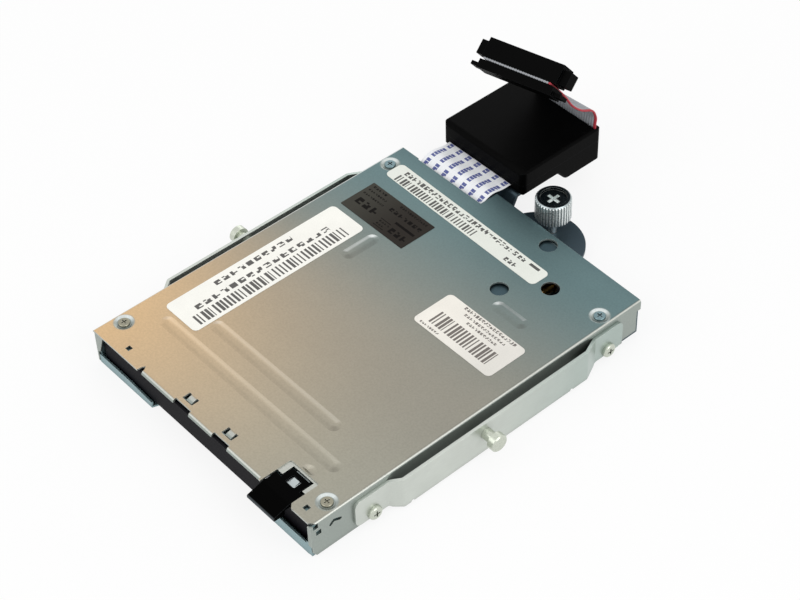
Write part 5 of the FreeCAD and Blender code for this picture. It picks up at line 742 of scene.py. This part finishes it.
def strip_tree() -> NodeTree:
    """A flat cable: round or flat conductors side by side along a guide line.

    Returns:
        The tree.
    """
    tree, given = new_tree("flat_cable", {
        "Conductors": "Int", "Pitch": "Float", "Half Width": "Float", "Half Thickness": "Float",
        "Steps": "Int", "Marked": "Int", "Finish": "Material", "Marked Finish": "Material"})
    sizes = given.outputs
    line = add(tree, "GeometryNodeMeshToCurve", {"Mesh": sizes["Geometry"]})
    line = add(tree, "GeometryNodeCurveSplineType", {"Curve": line}, spline_type="CATMULL_ROM")
    line = add(tree, "GeometryNodeResampleCurve", {"Curve": line, "Count": sizes["Steps"]})
    across = add(tree, "GeometryNodeInputNamedAttribute", {"Name": "across"}, data_type="FLOAT_VECTOR")
    line = add(tree, "GeometryNodeSetCurveNormal", {"Curve": line, "Normal": across}, mode="FREE")
    copies = add(tree, "GeometryNodeDuplicateElements", {"Geometry": line, "Amount": sizes["Conductors"]},
                 domain="SPLINE")
    number = copies.outputs["Duplicate Index"]
    last = add(tree, "ShaderNodeMath", {0: sizes["Conductors"], 1: 1.0}, operation="SUBTRACT")
    middle = add(tree, "ShaderNodeMath", {0: last, 1: 0.5}, operation="MULTIPLY")
    steps = add(tree, "ShaderNodeMath", {0: number, 1: middle}, operation="SUBTRACT")
    shift = add(tree, "ShaderNodeMath", {0: steps, 1: sizes["Pitch"]}, operation="MULTIPLY")
    offset = add(tree, "ShaderNodeVectorMath", {0: across, "Scale": shift}, operation="SCALE")
    laid = add(tree, "GeometryNodeSetPosition", {"Geometry": copies, "Offset": offset})
    marked = add(tree, "FunctionNodeCompare", {2: number, 3: sizes["Marked"]}, data_type="INT",
                 operation="EQUAL")
    kept = add(tree, "GeometryNodeStoreNamedAttribute", {"Geometry": laid, "Name": "marked", "Value": marked},
               data_type="BOOLEAN", domain="CURVE")
    ring = add(tree, "GeometryNodeCurvePrimitiveCircle", {"Resolution": CONDUCTOR_SIDES, "Radius": 1.0})
    size = add(tree, "ShaderNodeCombineXYZ", {0: sizes["Half Width"], 1: sizes["Half Thickness"], 2: 1.0})
    oval = add(tree, "GeometryNodeTransform", {"Geometry": ring, "Scale": size})
    tube = add(tree, "GeometryNodeCurveToMesh", {"Curve": kept, "Profile Curve": oval, "Fill Caps": True})
    is_marked = add(tree, "GeometryNodeInputNamedAttribute", {"Name": "marked"}, data_type="BOOLEAN")
    close_tree(tree, tube, sizes["Finish"], (is_marked, sizes["Marked Finish"]))
    return tree


def coil_tree() -> NodeTree:
    """An extension spring along Y at each point it is given, with an eye at both ends.

    Returns:
        The tree.
    """
    tree, given = new_tree("coil_spring", {
        "Turns": "Float", "Radius": "Float", "Wire": "Float", "Length": "Float", "Eye": "Float",
        "Finish": "Material"})
    sizes = given.outputs
    helix = add(tree, "GeometryNodeCurveSpiral",
                {"Resolution": COIL_STEPS, "Rotations": sizes["Turns"], "Start Radius": sizes["Radius"],
                 "End Radius": sizes["Radius"], "Height": sizes["Length"]})
    along = add(tree, "GeometryNodeTransform", {"Geometry": helix, "Rotation": (-math.pi / 2, 0.0, 0.0)})
    eye = add(tree, "GeometryNodeCurvePrimitiveCircle", {"Resolution": EYE_STEPS, "Radius": sizes["Radius"]})
    behind = add(tree, "ShaderNodeMath", {0: sizes["Length"], 1: sizes["Eye"]}, operation="ADD")
    before = add(tree, "ShaderNodeMath", {0: sizes["Eye"], 1: -1.0}, operation="MULTIPLY")
    joined = add(tree, "GeometryNodeJoinGeometry", {0: along})
    for reach in (before, behind):
        spot = add(tree, "ShaderNodeCombineXYZ", {1: reach})
        turned = add(tree, "GeometryNodeTransform",
                     {"Geometry": eye, "Translation": spot, "Rotation": (0.0, math.pi / 2, 0.0)})
        tree.links.new(turned.outputs[0], joined.inputs[0])
    wire = add(tree, "GeometryNodeCurvePrimitiveCircle", {"Resolution": WIRE_SIDES, "Radius": sizes["Wire"]})
    solid = add(tree, "GeometryNodeCurveToMesh", {"Curve": joined, "Profile Curve": wire, "Fill Caps": True})
    placed = add(tree, "GeometryNodeInstanceOnPoints", {"Points": sizes["Geometry"], "Instance": solid})
    close_tree(tree, placed, sizes["Finish"])
    return tree


# Sub-assemblies

@dataclass
class SubAssembly:
    """A group of nodes with the finish of each, and the pieces that the scene adds."""

    name: str
    finishes: dict[str, Finish]

    def dress(self) -> None:
        """Gives each node its finish."""
        for node, finish in self.finishes.items():
            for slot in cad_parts[node].material_slots:
                slot.material = finish.material

    def make(self) -> list[Object]:
        """Builds the pieces that stand for nodes, and returns them."""
        return []

    def build(self) -> None:
        """Dresses the nodes and makes the pieces, and reports each."""
        self.dress()
        for node, finish in self.finishes.items():
            LOG.info("%s: %s in %s", self.name, node, finish.value.name)
        for piece in self.make():
            LOG.info("%s: %s made, %d faces", self.name, piece.name, len(piece.data.polygons))


@dataclass
class EjectMechanism(SubAssembly):
    """Button, slider, disk holder, trigger lever and the pair of springs on the slider."""

    spring_x: float = 44.775
    spring_front: float = 38.0
    spring_z: float = 1.9
    coil_radius: float = 1.0
    wire: float = 0.35
    turns: int = 25

    def make(self) -> list[Object]:
        """Makes the two wound springs.

        Returns:
            Both springs, as one piece.
        """
        ends = bpy.data.meshes.new("spring_ends")
        sides = (-self.spring_x, self.spring_x)
        ends.from_pydata([row(x, self.spring_front, self.spring_z) for x in sides], [], [])
        mean = self.coil_radius - self.wire / 2
        springs = grow("wound_springs", ends, coil_tree(),
                       {"Turns": float(self.turns), "Radius": mean * MM, "Wire": self.wire / 2 * MM,
                        "Length": 2 * self.wire * self.turns * MM, "Eye": (self.coil_radius - self.wire) * MM,
                        "Finish": Finish.SPRING.material})
        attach(springs, "slider")
        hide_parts("eject_springs")
        return [springs]


@dataclass
class Adapter(SubAssembly):
    """Box behind the drive and the flat film cable that leads to it.

    A conductor reaches film_lap pitches to each side of its middle, so that neighbours merge.
    """

    film_x: float = -26.3
    film_route: tuple[tuple[float, float], ...] = (
        (104.6, 3.8), (110.2, 3.8), (114.4, 10.2), (119.4, 13.1), (124.9, 12.45), (131.5, 12.45))
    film_conductors: int = 26
    film_pitch: float = 1.035
    film_lap: float = 0.62
    film_thickness: float = 0.3
    film_steps: int = 60

    def make(self) -> list[Object]:
        """Makes the film cable.

        Returns:
            The cable, as one piece.
        """
        points = [row(self.film_x, y, z) for y, z in self.film_route]
        line = guide_line(points, [Vector((1.0, 0.0, 0.0))] * len(points))
        film = grow("film_cable", line, strip_tree(),
                    {"Conductors": self.film_conductors, "Pitch": self.film_pitch * MM,
                     "Half Width": self.film_pitch * self.film_lap * MM,
                     "Half Thickness": self.film_thickness / 2 * MM, "Steps": self.film_steps, "Marked": -1,
                     "Finish": Finish.CABLE_FILM.material, "Marked Finish": Finish.CABLE_FILM.material})
        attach(film, "drive")
        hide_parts("ffc_cable")
        return [film]


@dataclass
class RibbonLead(SubAssembly):
    """Ribbon that stands up from the box and leans forward over it to its plug.

    The rises are steps forward and up from the box's top edge, and lap is as in the film cable.
    """

    x: float = -21.0
    y: float = 158.4
    start_z: float = 11.5
    box_top: float = 19.7
    clear: float = 0.6
    rises: tuple[tuple[float, float], ...] = (
        (0.0, 3.5), (1.8, 6.5), (6.2, 8.5), (10.0, 11.7), (12.7, 15.6), (15.2, 18.8))
    drift: float = -2.0
    yaw_deg: float = 6.2
    twist_deg: float = 7.4
    plug_reach: float = 5.9
    conductors: int = 26
    pitch: float = 1.0
    lap: float = 0.54
    thickness: float = 0.66
    steps: int = 72

    def frames(self) -> list[Matrix]:
        """Places and turns of the ribbon's sections.

        Returns:
            A matrix for each section, with local Z along the ribbon and local X across it.
        """
        route = [(self.y, self.start_z), (self.y, self.box_top + self.clear)]
        route += [(self.y - forward, self.box_top + rise) for forward, rise in self.rises]
        total = len(route) - 1
        frames = []
        for i, (y, z) in enumerate(route):
            ahead = route[min(i + 1, total)]
            behind = route[i - 1] if i > 1 else route[i]
            lean = math.atan2(behind[0] - ahead[0], ahead[1] - behind[1])
            share = max(0.0, (i - 1) / (total - 1))
            turn = (Matrix.Rotation(math.radians(self.yaw_deg * share), 4, "Z")
                    @ Matrix.Rotation(math.radians(-self.twist_deg * share), 4, "Y")
                    @ Matrix.Rotation(lean, 4, "X"))
            frames.append(Matrix.Translation(row(self.x + self.drift * share ** 2, y, z)) @ turn)
        frames.append(frames[-1] @ Matrix.Translation((0.0, 0.0, self.plug_reach * MM)))
        return frames

    def make(self) -> list[Object]:
        """Makes the ribbed ribbon.

        Returns:
            The ribbon, as one piece.
        """
        frames = self.frames()
        line = guide_line([f.translation for f in frames], [f.to_3x3().col[0] for f in frames])
        ribbon = grow("ribbed_ribbon", line, strip_tree(),
                      {"Conductors": self.conductors, "Pitch": self.pitch * MM,
                       "Half Width": self.pitch * self.lap * MM, "Half Thickness": self.thickness / 2 * MM,
                       "Steps": self.steps, "Marked": self.conductors - 1,
                       "Finish": Finish.VINYL.material, "Marked Finish": Finish.RED_VINYL.material})
        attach(ribbon, "drive")
        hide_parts("ribbon_cable")
        return [ribbon]


def sub_assemblies() -> list[SubAssembly]:
    """The part's sub-assemblies.

    Returns:
        All of them, in the order that they are built.
    """
    return [
        SubAssembly("shell", {
            "top_cover": Finish.COVER, "cover_screws": Finish.COVER_SCREW, "base_frame": Finish.FRAME,
            "front_door": Finish.FLAP}),
        SubAssembly("labels", {
            "label_left": Finish.LEFT_PAPER, "label_long": Finish.LONG_PAPER,
            "label_right": Finish.RIGHT_PAPER, "label_dark": Finish.DARK_FILM}),
        EjectMechanism("eject mechanism", {
            "eject_button": Finish.BUTTON, "eject_slider": Finish.MECHANISM, "eject_springs": Finish.SPRING,
            "disk_holder": Finish.MECHANISM, "holder_pins": Finish.PIN, "lever_post": Finish.PIN,
            "trigger_lever": Finish.MECHANISM, "lever_pin": Finish.PIN}),
        SubAssembly("spindle", {
            "spindle_hub": Finish.CHROMATE, "spindle_rotor": Finish.MECHANISM, "rotor_magnet": Finish.FERRITE,
            "drive_pin": Finish.PIN, "spindle_bearing": Finish.BRONZE, "stator_coils": Finish.COPPER,
            "motor_board": Finish.BOARD}),
        SubAssembly("head carriage", {
            "head_carriage": Finish.ALUMINIUM, "screw_follower": Finish.PIN, "lower_head": Finish.GREY,
            "arm_pivot": Finish.PIN, "upper_arm": Finish.GREY, "upper_head": Finish.GREY,
            "guide_rods": Finish.PIN, "rod_blocks": Finish.MECHANISM, "screw_bracket": Finish.MECHANISM,
            "lead_screw": Finish.BRASS, "stepper_motor": Finish.BRASS}),
        SubAssembly("boards", {
            "main_board": Finish.BOARD, "switch_board": Finish.BOARD, "disk_switches": Finish.BLACK,
            "board_chips": Finish.CHIP, "ffc_socket": Finish.IVORY}),
        Adapter("adapter", {
            "box_lower": Finish.BLACK, "box_upper": Finish.BLACK, "adapter_board": Finish.BOARD,
            "adapter_sockets": Finish.IVORY, "ffc_cable": Finish.CABLE_FILM}),
        RibbonLead("ribbon lead", {
            "ribbon_cable": Finish.VINYL, "idc_body": Finish.BLACK, "idc_cap": Finish.BLACK,
            "idc_contacts": Finish.GOLD}),
        SubAssembly("rails", {
            "rail_right": Finish.RAIL, "rail_left": Finish.RAIL, "rail_screws": Finish.PIN,
            "guide_pins": Finish.PIN}),
        SubAssembly("rear bracket", {
            "rear_bracket": Finish.BRACKET, "bracket_screws": Finish.CHROMATE, "thumbscrew": Finish.KNOB,
            "thumb_washer": Finish.CHROMATE}),
    ]


# Studio

@dataclass(frozen=True)
class Lamp:
    """A square soft lamp that faces the middle of the floor: its place and size in metres, and its watts."""

    name: str
    place: tuple[float, float, float]
    size: float
    power: float


@dataclass
class Studio:
    """Floor, surroundings, lamps, and the camera at the photograph's angle."""

    azimuth_deg: float = 50.27
    elevation_deg: float = 44.5
    roll_deg: float = -2.23
    focal_pixels: float = 2039.0
    frame_pixels: tuple[int, int] = (800, 600)
    aim_pixel: tuple[float, float] = (392.8, 301.4)
    aim_mm: tuple[float, float, float] = (0.82, 68.86, 12.7)
    distance_mm: float = 574.2
    sensor_mm: float = 36.0
    clip: tuple[float, float] = (0.01, 20.0)
    floor_half: float = 3.0
    floor_shade: float = 0.9
    floor_glow: float = 0.84
    world_light: float = 0.8
    lamps: tuple[Lamp, ...] = (
        Lamp("back_lamp", (-0.6, 0.62, 0.34), 0.4, 0.45),
        Lamp("side_lamp", (0.9, 0.1, 0.7), 0.7, 3.3),
        Lamp("front_lamp", (-0.2, -0.9, 0.6), 0.8, 2.2),
    )

    def build(self) -> None:
        """Sets up the view transform, the surroundings, the floor, the lamps and the camera."""
        scene = bpy.context.scene
        scene.view_settings.view_transform = "Standard"
        self.build_camera(scene)
        self.build_world(scene)
        self.build_floor(scene)
        self.build_lamps(scene)

    def build_camera(self, scene: Scene) -> None:
        """Places the camera on the line through the aim point.

        Args:
            scene: The scene that gets the camera.
        """
        azimuth, elevation, roll = (math.radians(v) for v in
                                    (self.azimuth_deg, self.elevation_deg, self.roll_deg))
        level = math.cos(elevation)
        back = Vector((math.sin(azimuth) * level, -math.cos(azimuth) * level, math.sin(elevation)))
        right = Vector((math.cos(azimuth), math.sin(azimuth), 0.0))
        up = back.cross(right)
        tilted_right = math.cos(roll) * right + math.sin(roll) * up
        tilted_up = math.cos(roll) * up - math.sin(roll) * right
        width, height = self.frame_pixels
        data = bpy.data.cameras.new("camera")
        data.sensor_width = self.sensor_mm
        data.lens = self.focal_pixels / width * self.sensor_mm
        data.shift_x = (width / 2 - self.aim_pixel[0]) / width
        data.shift_y = (self.aim_pixel[1] - height / 2) / width
        data.clip_start, data.clip_end = self.clip
        camera = bpy.data.objects.new("camera", data)
        turn = Matrix((tilted_right, tilted_up, back)).transposed()
        place = row(*self.aim_mm) + back * self.distance_mm * MM
        camera.matrix_world = Matrix.Translation(place) @ turn.to_4x4()
        scene.collection.objects.link(camera)
        scene.camera = camera

    def build_world(self, scene: Scene) -> None:
        """Surroundings: white where they are seen, directly or in metal, and softer as light.

        Args:
            scene: The scene that gets them.
        """
        world = bpy.data.worlds.new("surroundings")
        world.use_nodes = True
        tree = world.node_tree
        tree.nodes.clear()
        path = add(tree, "ShaderNodeLightPath").outputs
        straight = add(tree, "ShaderNodeMath", {0: path["Is Camera Ray"], 1: path["Is Glossy Ray"]},
                       operation="MAXIMUM")
        seen = add(tree, "ShaderNodeMath", {0: straight, 1: path["Is Transmission Ray"]}, operation="MAXIMUM")
        strength = add(tree, "ShaderNodeMix", {0: seen, 2: self.world_light, 3: 1.0})
        pale = add(tree, "ShaderNodeBackground", {"Color": linear("#FFFFFF"), "Strength": strength})
        add(tree, "ShaderNodeOutputWorld", {"Surface": pale})
        scene.world = world

    def build_floor(self, scene: Scene) -> None:
        """A white table top that keeps a faint shadow.

        Args:
            scene: The scene that gets it.
        """
        half = self.floor_half
        mesh = bpy.data.meshes.new("floor")
        corners = [(-half, -half, 0), (half, -half, 0), (half, half, 0), (-half, half, 0)]
        mesh.from_pydata(corners, [], [(0, 1, 2, 3)])
        floor = bpy.data.objects.new("floor", mesh)
        scene.collection.objects.link(floor)
        material = bpy.data.materials.new("white_table")
        material.use_nodes = True
        tree = material.node_tree
        tree.nodes.clear()
        matt = add(tree, "ShaderNodeBsdfDiffuse", {"Color": (*[self.floor_shade] * 3, 1.0)})
        glow = add(tree, "ShaderNodeEmission", {"Color": linear("#FFFFFF"), "Strength": 1.0})
        path = add(tree, "ShaderNodeLightPath").outputs
        seen = add(tree, "ShaderNodeMath", {0: path["Is Camera Ray"], 1: path["Is Glossy Ray"]},
                   operation="MAXIMUM")
        share = add(tree, "ShaderNodeMath", {0: seen, 1: self.floor_glow}, operation="MULTIPLY")
        mix = add(tree, "ShaderNodeMixShader", {0: share, 1: matt, 2: glow})
        add(tree, "ShaderNodeOutputMaterial", {"Surface": mix})
        mesh.materials.append(material)

    def build_lamps(self, scene: Scene) -> None:
        """Hangs the soft lamps round the part.

        Args:
            scene: The scene that gets them.
        """
        for lamp in self.lamps:
            data = bpy.data.lights.new(lamp.name, "AREA")
            data.size = lamp.size
            data.energy = lamp.power
            light = bpy.data.objects.new(lamp.name, data)
            light.location = lamp.place
            light.rotation_euler = (-Vector(lamp.place)).to_track_quat("-Z", "Y").to_euler()
            scene.collection.objects.link(light)


def main() -> None:
    """Builds the studio and the sub-assemblies in order."""
    logging.basicConfig(level=logging.INFO, format="%(name)s: %(message)s")
    Studio().build()
    dressed = 0
    for group in sub_assemblies():
        group.build()
        dressed += len(group.finishes)
    LOG.info("%d of %d nodes are dressed", dressed, len(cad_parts))


if __name__ == "__main__":
    main()
